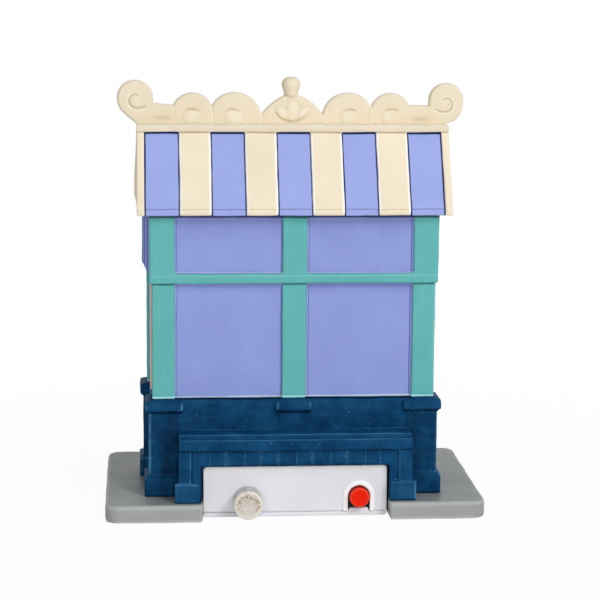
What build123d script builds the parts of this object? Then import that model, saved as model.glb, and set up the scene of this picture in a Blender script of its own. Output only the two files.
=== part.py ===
from build123d import *
import math
import os

# Driving sizes of the ground plate, in millimetres
plate_width = 120.8
plate_depth = 70.0
plate_thick = 5.7
plate_corner_radius = 4.2
plate_edge_radius = 1.0

# The house stands near the rear edge of the plate, with pavement in front
rear_margin = 2.8

# Plinth with its piers, base blocks and caps
plinth_width = 91.3
plinth_depth = 34.8
plinth_height = 31.3
plinth_wall = 2.5
pier_width = 9.9
pier_proud = 0.6
pier_block_proud = 1.3
pier_block_height = 6.4
cap_proud = 1.1
cap_height = 4.3
cap_rise = 0.6
cap_round = 2.0
middle_pier_width = 9.0
front_spread = 1.5

# Bench over the sound and light module, on the rear face of the plinth
bench_width = 73.6
bench_depth = 9.0
bench_height = 21.7
bench_nose = 1.4
bench_setback = 0.7
fascia_height = 2.9
fascia_proud = 1.1
leg_width = 3.8
leg_proud = 0.5
leg_block_proud = 1.0
leg_block_side = 2.6
leg_block_height = 6.3
plank_count = 12
plank_groove = 0.5
groove_turn_degrees = 45

# Two storeys of wall with trim standing proud of the panels
wall_side_setback = 0.6
wall_face_setback = 0.5
lower_height = 37.1
upper_side_out = 0.7
upper_face_out = 0.8
upper_height = 24.0
wall_thick = 2.4
trim_proud = 0.9
post_width = 7.4
upper_post_width = 8.1
middle_post_width = 7.8
rail_height = 3.3

# Windows
window_margin = 2.6
front_sill = 4.0
frame_bar = 2.4
frame_proud = 1.4
frame_lap = 0.9
muntin_width = 1.4
pane_thick = 1.2
pane_clear = 0.1
side_margin = 1.7
side_sill = 1.2

# Hoods over the side windows
hood_width = 12.0
hood_clear = 0.3
hood_top_out = 3.0
hood_out = 3.1
hood_foot = 1.0
hood_lift = 0.4

# Striped canopy
canopy_side_out = 1.35
canopy_rise = 25.4
canopy_eave_out = 3.0
canopy_top_depth = 15.4
canopy_skin = 3.0
canopy_deck = 2.2
hem_height = 2.0
hem_clear = 0.4
soffit_thick = 2.0
cream_width = 9.84
stripe_pocket = 1.0
stripe_thick = 0.6
gable_thick = 2.4
gable_proud = 0.3
gable_spread = 1.1

# Cornice, crest and finial
cornice_height = 1.9
cornice_out = 0.9
cornice_side_out = 0.4
cornice_round = 0.8
crest_thick = 3.4
crest_base_half = 49.4
scroll_radius = 5.7
scroll_x = 49.6
scroll_z = 7.8
scroll_eye_radius = 2.0
scroll_turn_degrees = 42
crest_flat_z = 6.2
first_lump_x = 31.5
first_lump_z = 9.7
second_lump_x = 18.6
second_lump_z = 9.8
outer_dip_x = 37.8
outer_dip_z = 5.8
middle_dip_x = 25.4
middle_dip_z = 5.4
shell_dip_x = 9.9
shell_dip_z = 3.1
shell_top_z = 8.9
curl_radius = 2.5
curl_proud = 0.7
curl_z = 2.9
lobe_radius = 2.1
lobe_spread = 4.3
finial_radius = 2.9
finial_neck = 2.3
finial_height = 5.9

# Sound and light module: plastic shell, cover and controls
module_depth = 39.0
module_top = 16.8
module_lift = 0.3
module_wall = 1.3
module_clear = 0.4
module_round = 1.3
cover_thick = 1.4
cover_round = 0.9
ear_length = 6.5
ear_width = 8.0
ear_thick = 1.8
lug_height = 8.0
control_side = 8.65
control_z = 6.7
arch_radius = 3.45
arch_rim = 1.4
arch_rim_proud = 0.5
arch_tab_height = 1.1
button_radius = 3.05
button_stop = 0.4
button_proud = 2.7
button_round = 0.7
button_travel = 2.0
plunger_width = 3.0
plunger_length = 6.6
plunger_seat = 2.0
switch_width = 8.0
switch_depth = 8.0
knob_side = 14.05
knob_z = 5.9
knob_radius = 4.7
knob_length = 6.7
knob_gap = 0.5
knob_chamfer = 0.8
knob_flutes = 32
flute_radius = 0.28
shaft_radius = 1.5
shaft_seat = 2.8
pot_width = 9.4
pot_height = 8.4
pot_depth = 6.0
pot_bushing_radius = 2.6
pot_bore_share = 0.7
run_clear = 0.06

# Inside the module
control_bay = 10.8
board_thick = 1.2
rib_thick = 1.0
rib_depth = 1.5
slot_clear = 0.1
cell_radius = 5.25
cell_length = 43.7
nub_radius = 1.9
nub_length = 0.8
cell_gap = 0.2
cell_lift = 0.3
contact_thick = 0.4
contact_bow = 3.6
contact_width = 6.0
contact_foot = 1.6
carrier_thick = 1.5
carrier_side = 3.2
door_gap = 0.25
door_side = 1.2
door_tab_width = 5.0
door_tab_reach = 1.0
door_tab_root = 2.0
door_tab_thick = 0.8
door_tab_spacing = 28.0
thumb_radius = 6.0
thumb_depth = 0.6
chip_radius = 4.0
chip_height = 1.6
chip_round = 1.0
capacitor_radius = 2.5
capacitor_length = 6.0

# Speaker, lights and leads
speaker_side = 1.9
speaker_rim = 1.0
speaker_height = 7.0
basket_thick = 0.8
magnet_radius = 7.0
magnet_height = 3.0
cone_thick = 0.6
dust_cap_radius = 4.0
light_board_length = 34.0
light_board_width = 7.0
led_count = 3
led_spacing = 12.0
led_radius = 1.5
led_length = 5.0
led_flange = 0.4
lead_radius = 0.7
lead_bend = 1.5
lead_hole = 1.2
lead_stub = 1.9
light_lead_share = 0.67
lead_spacing = 4.8

# Screws holding the module ears up against the plinth lugs
screw_radius = 1.1
screw_length = 7.0
screw_head_radius = 2.0
screw_head_height = 1.4
screw_clear = 0.2
slot_width = 0.6
slot_depth = 0.6

# Cuts run past the faces they open by this much
overrun = 1.0
thread_clear = 0.02

half = 0.5
low_corner = (Align.MIN, Align.MIN, Align.MIN)


def block(x_low, x_high, y_low, y_high, z_low, z_high):
    return Pos(x_low, y_low, z_low) * Box(x_high - x_low, y_high - y_low, z_high - z_low, align=low_corner)


def house_block(width, depth, z_low, z_high):
    x, y = width * half, depth * half
    return block(-x, x, house_y - y, house_y + y, z_low, z_high)


def rod_y(x, z, radius, y_low, y_high):
    cylinder = Cylinder(radius, y_high - y_low, align=(Align.CENTER, Align.CENTER, Align.MIN))
    return Pos(x, y_low, z) * Rot(-90, 0, 0) * cylinder


def rod_z(x, y, radius, z_low, z_high):
    cylinder = Cylinder(radius, z_high - z_low, align=(Align.CENTER, Align.CENTER, Align.MIN))
    return Pos(x, y, z_low) * cylinder


def slab_x(points, x_low, x_high):
    # Outline of (y, z) points, drawn out along x
    outline = make_face(Polyline(*[(x_low, y, z) for y, z in points], close=True))
    return extrude(outline, x_high - x_low, dir=(1, 0, 0))


def slab_y(points, y_low, y_high):
    # Outline of (x, z) points, drawn out along y
    outline = make_face(Polyline(*[(x, y_low, z) for x, z in points], close=True))
    return extrude(outline, y_high - y_low, dir=(0, 1, 0))


def both(shape):
    return [shape, mirror(shape, Plane.YZ)]


def lead(*points):
    path = FilletPolyline(*points, radius=lead_bend)
    return sweep(Plane(path @ 0, z_dir=path % 0) * Circle(lead_radius), path=path)


# Levels and faces shared by mating pieces
module_reach = module_depth + knob_gap + knob_length
knob_past = module_reach + module_clear + plinth_wall - plinth_depth - bench_depth - rear_margin
plate_y = max(knob_past, 0) * half
plate_rear = plate_y - plate_depth * half
bench_front = plate_rear + rear_margin
plinth_rear = bench_front + bench_depth
plinth_front = plinth_rear + plinth_depth
house_y = plinth_rear + plinth_depth * half
plate_top = plate_thick
plinth_top = plate_top + plinth_height
rail_low = plinth_top + lower_height
rail_top = rail_low + rail_height
soffit_z = rail_low + upper_height
eave_z = soffit_z - hem_height
canopy_top = eave_z + canopy_rise
cornice_top = canopy_top + cornice_height
lower_width = plinth_width - wall_side_setback * 2
lower_depth = plinth_depth - wall_face_setback * 2
upper_width = lower_width + upper_side_out * 2
upper_depth = lower_depth + upper_face_out * 2
canopy_field = upper_width + canopy_side_out * 2
canopy_eave_depth = upper_depth + canopy_eave_out * 2
lower_panel_width = lower_width - trim_proud * 2
lower_panel_depth = lower_depth - trim_proud * 2
upper_panel_width = upper_width - trim_proud * 2
upper_panel_depth = upper_depth - trim_proud * 2
inner_width = lower_panel_width - wall_thick * 2
inner_depth = lower_panel_depth - wall_thick * 2
contact_face = (cell_length + nub_length + contact_bow) * half
carrier_face = contact_face + contact_thick
module_half = carrier_face + carrier_thick + carrier_side
control_x = module_half - control_side
knob_x = module_half - knob_side
module_end = plinth_front - plinth_wall - module_clear
module_front = module_end - module_depth
module_middle = module_front + module_depth * half
tunnel_half = module_half + module_clear
tunnel_top = module_top + module_clear
cover_top = module_lift + cover_thick
ear_top = plate_top
ear_low = ear_top - ear_thick
ear_half = ear_width * half
ear_end = module_half + ear_length
screw_x = module_half + ear_length * half

# Ground plate with the notch and the ear pockets for the module
plate_outline = RectangleRounded(plate_width, plate_depth, plate_corner_radius)
ground_plate = Pos(0, plate_y, 0) * extrude(plate_outline, plate_thick)
ground_plate = fillet(ground_plate.faces().sort_by(Axis.Z)[-1].edges(), plate_edge_radius)
notch_end = module_end + module_clear
ground_plate -= block(-tunnel_half, tunnel_half, plate_rear - overrun, notch_end, -overrun, plate_top + overrun)
pocket_x = ear_end + module_clear
pocket_half = ear_half + module_clear
ground_plate -= block(
    -pocket_x, pocket_x, module_middle - pocket_half, module_middle + pocket_half, -overrun, plate_top + overrun
)


def pier(x_face, y_face, x_turn, y_turn):
    # A corner pier whose shaft faces lie at x_face and y_face, with the house towards -turn
    def part_of_pier(proud, z_low, z_high):
        x_out, x_in = x_face + x_turn * proud, x_face - x_turn * (pier_width + proud)
        y_out, y_in = y_face + y_turn * proud, y_face - y_turn * (pier_width + proud)
        return block(min(x_out, x_in), max(x_out, x_in), min(y_out, y_in), max(y_out, y_in), z_low, z_high)

    shaft = part_of_pier(0, plate_top, plinth_top)
    foot = part_of_pier(pier_block_proud, plate_top, plate_top + pier_block_height)
    cap = part_of_pier(cap_proud, plinth_top + cap_rise - cap_height, plinth_top + cap_rise)
    cap = fillet(cap.faces().sort_by(Axis.Z)[-1].edges(), cap_round)
    return shaft + foot + cap


def middle_pier(y_face, y_turn):
    def part_of_pier(proud, z_low, z_high):
        x = middle_pier_width * half + proud
        y_out, y_in = y_face + y_turn * (pier_proud + proud), y_face - y_turn * plinth_wall
        return block(-x, x, min(y_out, y_in), max(y_out, y_in), z_low, z_high)

    shaft = part_of_pier(0, plate_top, plinth_top)
    foot = part_of_pier(pier_block_proud, plate_top, plate_top + pier_block_height)
    cap = part_of_pier(cap_proud, plinth_top + cap_rise - cap_height, plinth_top + cap_rise)
    cap = fillet(cap.faces().sort_by(Axis.Z)[-1].edges(), cap_round)
    return shaft + foot + cap


# Lower and upper wall, one hollow casting with window openings
wall_shell = house_block(lower_panel_width, lower_panel_depth, plinth_top, rail_low)
wall_shell += house_block(upper_panel_width, upper_panel_depth, rail_low, soffit_z)
wall_shell -= house_block(inner_width, inner_depth, plinth_top - overrun, soffit_z + overrun)

# Front windows fill the two bays between the posts
bay_low = middle_post_width * half
bay_high = lower_width * half - post_width
window_x = (bay_low + bay_high) * half
front_frame_half = (bay_high - bay_low) * half - window_margin
front_frame_low = plinth_top + front_sill
front_frame_high = rail_low - window_margin
front_face = house_y + lower_panel_depth * half
front_inside = front_face - wall_thick


def ring_y(x_mid, x_half, z_low, z_high, bar, y_low, y_high):
    outer = block(x_mid - x_half, x_mid + x_half, y_low, y_high, z_low, z_high)
    inner_half = x_half - bar
    return outer - block(
        x_mid - inner_half, x_mid + inner_half, y_low - overrun, y_high + overrun, z_low + bar, z_high - bar
    )


def front_frame(x_mid):
    frame = ring_y(
        x_mid, front_frame_half, front_frame_low, front_frame_high, frame_bar, front_face, front_face + frame_proud
    )
    bar_half = muntin_width * half
    z_mid = (front_frame_low + front_frame_high) * half
    front_y = front_face + frame_proud - trim_proud * half
    frame += block(x_mid - bar_half, x_mid + bar_half, front_face, front_y, front_frame_low, front_frame_high)
    return frame + block(
        x_mid - front_frame_half, x_mid + front_frame_half, front_face, front_y, z_mid - bar_half, z_mid + bar_half
    )


def front_opening(x_mid, clear, y_low, y_high):
    x_half = front_frame_half - frame_bar + frame_lap - clear
    reach = frame_bar - frame_lap + clear
    return block(x_mid - x_half, x_mid + x_half, y_low, y_high, front_frame_low + reach, front_frame_high - reach)


front_window_frames = Compound([front_frame(x) for x in (-window_x, window_x)])
front_window_panes = Compound(
    [front_opening(x, pane_clear, front_face - pane_thick, front_face) for x in (-window_x, window_x)]
)
for x in (-window_x, window_x):
    wall_shell -= front_opening(x, 0, front_inside - overrun, front_face + overrun)

# Side windows: a pane above a plain panel in one frame
side_face = lower_panel_width * half
side_half = lower_depth * half - post_width - side_margin
side_low = plinth_top + side_sill
side_high = rail_low - side_sill
side_transom = (side_low + side_high) * half
side_lap = frame_bar - frame_lap


def side_opening(clear, x_low, x_high, z_low, z_high):
    y_half = side_half - side_lap - clear
    return block(x_low, x_high, house_y - y_half, house_y + y_half, z_low + clear, z_high - clear)


side_frame = block(
    side_face, side_face + frame_proud, house_y - side_half, house_y + side_half, side_low, side_high
)
for z_low, z_high in (
    (side_low + frame_bar, side_transom - frame_bar * half),
    (side_transom + frame_bar * half, side_high - frame_bar),
):
    side_frame -= side_opening(
        frame_lap, side_face - overrun, side_face + frame_proud + overrun, z_low - frame_lap, z_high + frame_lap
    )
side_window_frames = Compound(both(side_frame))
side_pane = side_opening(pane_clear, side_face - pane_thick, side_face, side_transom, side_high - side_lap)
side_window_panes = Compound(both(side_pane))
apron = side_opening(pane_clear, side_face - pane_thick, side_face, side_low + side_lap, side_transom)
side_aprons = Compound(both(apron))
for side in both(
    side_opening(0, side_face - wall_thick - overrun, side_face + overrun, side_low + side_lap, side_high - side_lap)
):
    wall_shell -= side

# Teal trim: corner posts wrap the wall corners, middle posts part the bays
lower_core = house_block(lower_panel_width, lower_panel_depth, plinth_top, rail_low)
upper_core = house_block(upper_panel_width, upper_panel_depth, rail_low, soffit_z)


def corner_post(width, depth, face, y_turn, extra, z_low, z_high):
    x_out = width * half + extra
    y_out = house_y + y_turn * depth * half
    y_in = y_out - y_turn * face
    return block(width * half - face, x_out, min(y_out, y_in), max(y_out, y_in), z_low, z_high)


def middle_post(depth, panel_depth, y_turn, z_low, z_high):
    x = middle_post_width * half
    y_out, y_in = house_y + y_turn * depth * half, house_y + y_turn * panel_depth * half
    return block(-x, x, min(y_out, y_in), max(y_out, y_in), z_low, z_high)


lower_posts = []
for y_turn, extra in ((-1, 0), (1, front_spread)):
    post = corner_post(lower_width, lower_depth, post_width, y_turn, extra, plinth_top, rail_low)
    lower_posts += both(post - lower_core)
    lower_posts.append(middle_post(lower_depth, lower_panel_depth, y_turn, plinth_top, rail_low))

upper_frame = house_block(upper_width, upper_depth, rail_low, rail_top)
for y_turn in (-1, 1):
    for post in both(corner_post(upper_width, upper_depth, upper_post_width, y_turn, 0, rail_low, soffit_z)):
        upper_frame += post
    upper_frame += middle_post(upper_depth, upper_panel_depth, y_turn, rail_low, soffit_z)
upper_frame -= upper_core

# Hoods hang on the upper side panels, under the canopy
hood_x = upper_panel_width * half
hood_low = rail_top + hood_lift
hood_front = house_y + upper_depth * half - upper_post_width - hood_clear
hood_profile = [
    (hood_x, hood_low),
    (hood_x + trim_proud, hood_low),
    (hood_x + hood_out, hood_low + hood_foot),
    (hood_x + hood_top_out, eave_z),
    (hood_x, eave_z),
]
side_hoods = Compound(both(slab_y(hood_profile, hood_front - hood_width, hood_front)))

# Plinth: hollow walls, a top flange under the house walls, piers and screw lugs
plinth = house_block(plinth_width, plinth_depth, plate_top, plinth_top)
plinth -= house_block(
    plinth_width - plinth_wall * 2,
    plinth_depth - plinth_wall * 2,
    plate_top - overrun,
    plinth_top - plinth_wall,
)
plinth -= house_block(inner_width, inner_depth, plate_top, plinth_top + overrun)
pier_x = plinth_width * half + pier_proud
for corner in both(pier(pier_x, plinth_rear - pier_proud, 1, -1)):
    plinth += corner
for corner in both(pier(pier_x + front_spread, plinth_front + pier_proud, 1, 1)):
    plinth += corner
plinth += middle_pier(plinth_rear, -1)
plinth += middle_pier(plinth_front, 1)
lug_end = plinth_width * half - plinth_wall
lug_start = module_half + module_clear * 2
for lug in both(
    block(lug_start, lug_end, module_middle - ear_half, module_middle + ear_half, plate_top, plate_top + lug_height)
):
    plinth += lug
for x in (-screw_x, screw_x):
    plinth -= rod_z(x, module_middle, screw_radius, plate_top - overrun, plate_top + screw_length)
plinth -= block(-tunnel_half, tunnel_half, bench_front, module_middle, plate_top - overrun, tunnel_top)
plinth -= house_block(lower_width, lower_depth, plinth_top, plinth_top + cap_rise + overrun)
for post in lower_posts:
    plinth -= post
lower_posts = Compound(lower_posts)

# Rear bench: stepped top, planked panel, legs on base blocks, tunnel for the module
bench_top = plate_top + bench_height
bench_half = bench_width * half
fascia_top = bench_top - bench_nose
fascia_low = fascia_top - fascia_height
rear_bench = slab_x(
    [
        (plinth_rear, plate_top),
        (bench_front, plate_top),
        (bench_front, fascia_low),
        (bench_front - fascia_proud, fascia_low),
        (bench_front - fascia_proud, fascia_top),
        (bench_front + bench_setback, fascia_top),
        (bench_front + bench_setback, bench_top),
        (plinth_rear, bench_top),
    ],
    -bench_half,
    bench_half,
)
leg_inner = bench_half - leg_width
for leg in both(block(leg_inner, bench_half, bench_front - leg_proud, plinth_rear, plate_top, fascia_low)):
    rear_bench += leg
for foot in both(
    block(
        tunnel_half,
        bench_half + leg_block_side * half,
        bench_front - leg_block_proud,
        plinth_rear,
        plate_top,
        plate_top + leg_block_height,
    )
):
    rear_bench += foot
tunnel = block(
    -tunnel_half, tunnel_half, bench_front - leg_block_proud - overrun, plinth_rear, plate_top, tunnel_top
)
tunnel_corners = tunnel.faces().sort_by(Axis.Z)[-1].edges().filter_by(Axis.Y)
rear_bench -= fillet(tunnel_corners, module_round + module_clear)
plank_pitch = leg_inner * 2 / plank_count
groove_reach = plank_groove * half
for plank in range(1, plank_count):
    x = plank * plank_pitch - leg_inner
    groove = Rot(0, 0, groove_turn_degrees) * Box(plank_groove, plank_groove, bench_height * 2)
    rear_bench -= Pos(x, bench_front, plate_top) * groove & block(
        -bench_half,
        bench_half,
        bench_front - groove_reach - overrun,
        plinth_rear,
        tunnel_top,
        fascia_low,
    )
rear_bench -= plinth

# Canopy: hollow striped roof on a flat soffit
eave_half = canopy_eave_depth * half
top_half = canopy_top_depth * half
field_half = canopy_field * half
fall_share = (eave_half - top_half) / (canopy_top - soffit_z)


def canopy_half(z):
    return eave_half - (z - soffit_z) * fall_share


def canopy_profile(proud):
    rear = [
        (house_y - eave_half - proud, eave_z),
        (house_y - eave_half - proud, soffit_z),
        (house_y - top_half - proud, canopy_top),
    ]
    front = [(house_y * 2 - y, z) for y, z in reversed(rear)]
    return rear + front


canopy = slab_x(canopy_profile(0), -field_half, field_half)
canopy -= house_block(upper_width + hem_clear * 2, upper_depth + hem_clear * 2, eave_z - overrun, soffit_z)
hollow_low = soffit_z + soffit_thick
hollow_high = canopy_top - canopy_deck
hollow_rear = [(house_y - canopy_half(z) + canopy_skin, z) for z in (hollow_low, hollow_high)]
hollow_front = [(house_y + canopy_half(z) - canopy_skin, z) for z in (hollow_high, hollow_low)]
canopy -= slab_x(hollow_rear + hollow_front, canopy_skin - field_half, field_half - canopy_skin)
canopy -= house_block(inner_width, inner_depth, soffit_z - overrun, hollow_low + overrun)

# Lavender stripes lie in pockets, a little below the cream ones between them
slope_length = math.hypot(eave_half - top_half, canopy_top - soffit_z)
slope_y = (canopy_top - soffit_z) / slope_length
slope_z = (eave_half - top_half) / slope_length


def stripe_band(y_turn, deep, shallow):
    # A strip that follows the hem and the slope between two depths square to their faces
    def line(depth):
        hem_out = eave_half - depth
        bend_z = soffit_z + depth * (slope_y - 1) / slope_z
        top_out, top_z = top_half - depth * slope_y, canopy_top - depth * slope_z
        return [(hem_out, eave_z), (hem_out, bend_z), (top_out, top_z)]

    outline = line(shallow) + line(deep)[::-1]
    return [(house_y + y_turn * out, z) for out, z in outline]


stripe_count = 5
cream_count = stripe_count - 1
lavender_width = (canopy_field - cream_width * cream_count) / stripe_count
stripe_groups = []
for y_turn in (-1, 1):
    stripes = []
    for stripe in range(stripe_count):
        x_low = stripe * (lavender_width + cream_width) - field_half
        x_high = x_low + lavender_width
        canopy -= slab_x(stripe_band(y_turn, stripe_pocket, -overrun), x_low, x_high)
        stripes.append(slab_x(stripe_band(y_turn, stripe_pocket, stripe_pocket - stripe_thick), x_low, x_high))
    stripe_groups.append(Compound(stripes))
rear_stripes, front_stripes = stripe_groups

# Gable boards close the ends, their front halves standing out like the front piers
gable_outer = field_half + gable_thick
gable_board = slab_x(canopy_profile(gable_proud), field_half, gable_outer)
gable_wing = slab_x(canopy_profile(gable_proud), field_half, gable_outer + gable_spread)
gable_board += gable_wing & block(
    field_half, gable_outer + gable_spread, house_y, house_y + canopy_eave_depth, eave_z, canopy_top
)
gable_boards = Compound(both(gable_board))

# Cornice slab with rounded lip
cornice_width = gable_outer * 2 + cornice_side_out * 2
cornice_depth = canopy_top_depth + cornice_out * 2 + gable_proud * 2
cornice = house_block(cornice_width, cornice_depth, canopy_top, cornice_top)
cornice = fillet(cornice.faces().sort_by(Axis.Z)[-1].edges(), cornice_round)

# Crest: scrolls at the corners, two lumps each side and a shell hill in the middle
scroll_tangent = math.radians(scroll_turn_degrees)
scroll_edge = scroll_x - scroll_radius
crest_line = [
    Line((0, 0), (crest_base_half, 0)),
    Line(
        (crest_base_half, 0),
        (scroll_x + scroll_radius * math.cos(scroll_tangent), scroll_z - scroll_radius * math.sin(scroll_tangent)),
    ),
    ThreePointArc(
        (scroll_x + scroll_radius * math.cos(scroll_tangent), scroll_z - scroll_radius * math.sin(scroll_tangent)),
        (scroll_x, scroll_z + scroll_radius),
        (scroll_edge, scroll_z),
    ),
    Line((scroll_edge, scroll_z), (scroll_edge, crest_flat_z)),
    Line((scroll_edge, crest_flat_z), (outer_dip_x, outer_dip_z)),
    ThreePointArc((outer_dip_x, outer_dip_z), (first_lump_x, first_lump_z), (middle_dip_x, middle_dip_z)),
    ThreePointArc((middle_dip_x, middle_dip_z), (second_lump_x, second_lump_z), (shell_dip_x, shell_dip_z)),
    TangentArc((shell_dip_x, shell_dip_z), (finial_neck, shell_top_z), tangent=(-half, 1)),
    Line((finial_neck, shell_top_z), (0, shell_top_z)),
    Line((0, shell_top_z), (0, 0)),
]
crest_outline = make_face(Curve() + crest_line)
crest_half = extrude(crest_outline, crest_thick * half, both=True)
crest_flat = crest_half + mirror(crest_half, Plane.YZ)
crest_flat = Pos(0, house_y, cornice_top) * Rot(90, 0, 0) * crest_flat
crest_rear = house_y - crest_thick * half - curl_proud
crest_front = house_y + crest_thick * half + curl_proud
crest = crest_flat
for x, z, radius in (
    (scroll_x, scroll_z, scroll_eye_radius),
    (first_lump_x, curl_z, curl_radius),
    (second_lump_x, curl_z, curl_radius),
):
    for boss in both(rod_y(x, cornice_top + z, radius, crest_rear, crest_front)):
        crest += boss
for x, z in ((0, shell_top_z * half), (lobe_spread, lobe_radius), (-lobe_spread, lobe_radius)):
    crest += rod_y(x, cornice_top + z, lobe_radius, crest_rear, crest_front)

# Ball finial on a short neck
finial_low = cornice_top + shell_top_z
ball_z = finial_height - finial_radius
finial = rod_z(0, house_y, finial_neck, finial_low, finial_low + ball_z)
finial += Pos(0, house_y, finial_low + ball_z) * Sphere(finial_radius)
finial &= block(
    -finial_radius,
    finial_radius,
    house_y - finial_radius,
    house_y + finial_radius,
    finial_low,
    finial_low + finial_height + overrun,
)

# Module shell, open underneath, with ribs for the board and carriers for the contacts
shell_inner_half = module_half - module_wall
shell_inner_front = module_front + module_wall
shell_inner_end = module_end - module_wall
shell_inner_top = module_top - module_wall
board_front = shell_inner_front + control_bay
board_back = board_front + board_thick
cell_z = cover_top + cell_lift + cell_radius
first_cell_y = board_back + door_gap * 2 + cell_radius
second_cell_y = first_cell_y + cell_radius * 2 + cell_gap
module_outline = block(-module_half, module_half, module_front, module_end, cover_top, module_top)
top_corners = module_outline.faces().sort_by(Axis.Z)[-1].edges().filter_by(Axis.Y)
module_shell = fillet(top_corners, module_round)
module_shell -= block(
    -shell_inner_half,
    shell_inner_half,
    shell_inner_front,
    shell_inner_end,
    cover_top - overrun,
    shell_inner_top,
)
for y_low in (board_front - slot_clear - rib_thick, board_back + slot_clear):
    for rib in both(
        block(
            shell_inner_half - rib_depth, shell_inner_half, y_low, y_low + rib_thick, cover_top, shell_inner_top
        )
    ):
        module_shell += rib
for carrier in both(
    block(
        carrier_face,
        carrier_face + carrier_thick,
        board_back + slot_clear + rib_thick,
        shell_inner_end,
        cover_top,
        shell_inner_top,
    )
):
    module_shell += carrier
for ear in both(
    block(
        module_half - module_wall, ear_end, module_middle - ear_half, module_middle + ear_half, ear_low, ear_top
    )
):
    module_shell += ear
for x in (-screw_x, screw_x):
    module_shell -= rod_z(x, module_middle, screw_radius + screw_clear, ear_low - overrun, ear_top + overrun)


def arch(radius, y_low, y_high, z_low):
    # Round-headed prism standing on z_low
    return rod_y(control_x, control_z, radius, y_low, y_high) + block(
        control_x - radius, control_x + radius, y_low, y_high, z_low, control_z
    )


module_shell += arch(arch_radius + arch_rim, module_front - arch_rim_proud, shell_inner_front, cover_top)
module_shell -= arch(
    arch_radius, module_front - arch_rim_proud - overrun, shell_inner_front + overrun, cover_top - overrun
)
shaft_hole = shaft_radius + door_gap
module_shell -= rod_y(-knob_x, knob_z, shaft_hole, module_front - overrun, shell_inner_front + overrun)
speaker_radius = plinth_depth * half - plinth_wall - speaker_side
lead_y = max(board_back + lead_stub, house_y - inner_depth * half + lead_bend)
light_lead_x = module_half * light_lead_share
speaker_lead_x = max(light_lead_x - lead_spacing, speaker_radius + lead_hole)
for x in (light_lead_x, speaker_lead_x):
    module_shell -= rod_z(x, lead_y, lead_hole, shell_inner_top - overrun, module_top + overrun)

# Module cover with a tab closing the foot of the arch, and the door opening
door_front = first_cell_y - cell_radius - door_gap
door_back = second_cell_y + cell_radius + door_gap
door_half = contact_face + door_gap - door_side
module_cover = block(-module_half, module_half, module_front, module_end, module_lift, cover_top)
low_corners = module_cover.faces().sort_by(Axis.Z)[0].edges().filter_by(Axis.Y)
module_cover = fillet(low_corners, cover_round)
tab_half = arch_radius - door_gap
module_cover += block(
    control_x - tab_half,
    control_x + tab_half,
    module_front,
    shell_inner_front,
    cover_top,
    cover_top + arch_tab_height,
)
module_cover -= block(-door_half, door_half, door_front, door_back, module_lift - overrun, cover_top + overrun)

# Battery door, hooked at its far edge by two tabs
door_x = door_half - door_gap
battery_door = block(-door_x, door_x, door_front + door_gap, door_back - door_gap, module_lift, cover_top)
tab_low = cover_top + slot_clear * 2
for x_mid in (-door_tab_spacing * half, door_tab_spacing * half):
    x_low, x_high = x_mid - door_tab_width * half, x_mid + door_tab_width * half
    tab_root = door_back - door_tab_root
    battery_door += block(x_low, x_high, tab_root, door_back - door_gap, cover_top, tab_low + door_tab_thick)
    battery_door += block(
        x_low, x_high, tab_root, door_back + door_tab_reach, tab_low, tab_low + door_tab_thick
    )
thumb_y = door_front + door_gap + thumb_radius
battery_door -= rod_z(0, thumb_y, thumb_radius - door_side, module_lift - overrun, module_lift + thumb_depth)


# Two cells lying opposite ways
def cell(y, turn):
    body = Cylinder(cell_radius, cell_length, align=(Align.CENTER, Align.CENTER, Align.MIN))
    body += Pos(0, 0, cell_length) * Cylinder(
        nub_radius, nub_length, align=(Align.CENTER, Align.CENTER, Align.MIN)
    )
    start = turn * (contact_bow - cell_length - nub_length) * half
    return Pos(start, y, cell_z) * Rot(0, 90 * turn, 0) * body


first_cell = cell(first_cell_y, 1)
second_cell = cell(second_cell_y, -1)

# Sheet contacts: a flat pad at each nub and a bowed leaf at each flat end
pad_half = contact_width * half


def flat_pad(y, x_turn):
    x_out, x_in = x_turn * (contact_face + contact_thick), x_turn * contact_face
    x_low, x_high = min(x_out, x_in), max(x_out, x_in)
    return block(x_low, x_high, y - pad_half, y + pad_half, cell_z - pad_half, cell_z + pad_half)


def bowed_leaf(y):
    back = -contact_face
    tip = contact_bow - contact_face
    profile = [
        (back - contact_thick, cell_z - pad_half - contact_foot),
        (back - contact_thick, cell_z - pad_half),
        (tip - contact_thick * 2, cell_z),
        (back - contact_thick, cell_z + pad_half),
        (back - contact_thick, cell_z + pad_half + contact_foot),
        (back, cell_z + pad_half + contact_foot),
        (back, cell_z + pad_half),
        (tip, cell_z + contact_thick * half),
        (tip, cell_z - contact_thick * half),
        (back, cell_z - pad_half),
        (back, cell_z - pad_half - contact_foot),
    ]
    return slab_y(profile, y - pad_half, y + pad_half)


bridge_z = cell_z + pad_half
bridge = block(
    contact_face,
    contact_face + contact_thick,
    first_cell_y,
    second_cell_y,
    bridge_z - contact_foot,
    bridge_z + contact_foot,
)
series_contact = bridge + flat_pad(first_cell_y, 1) + mirror(bowed_leaf(second_cell_y), Plane.YZ)
terminal_contacts = Compound([bowed_leaf(first_cell_y), flat_pad(second_cell_y, -1)])

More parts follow.
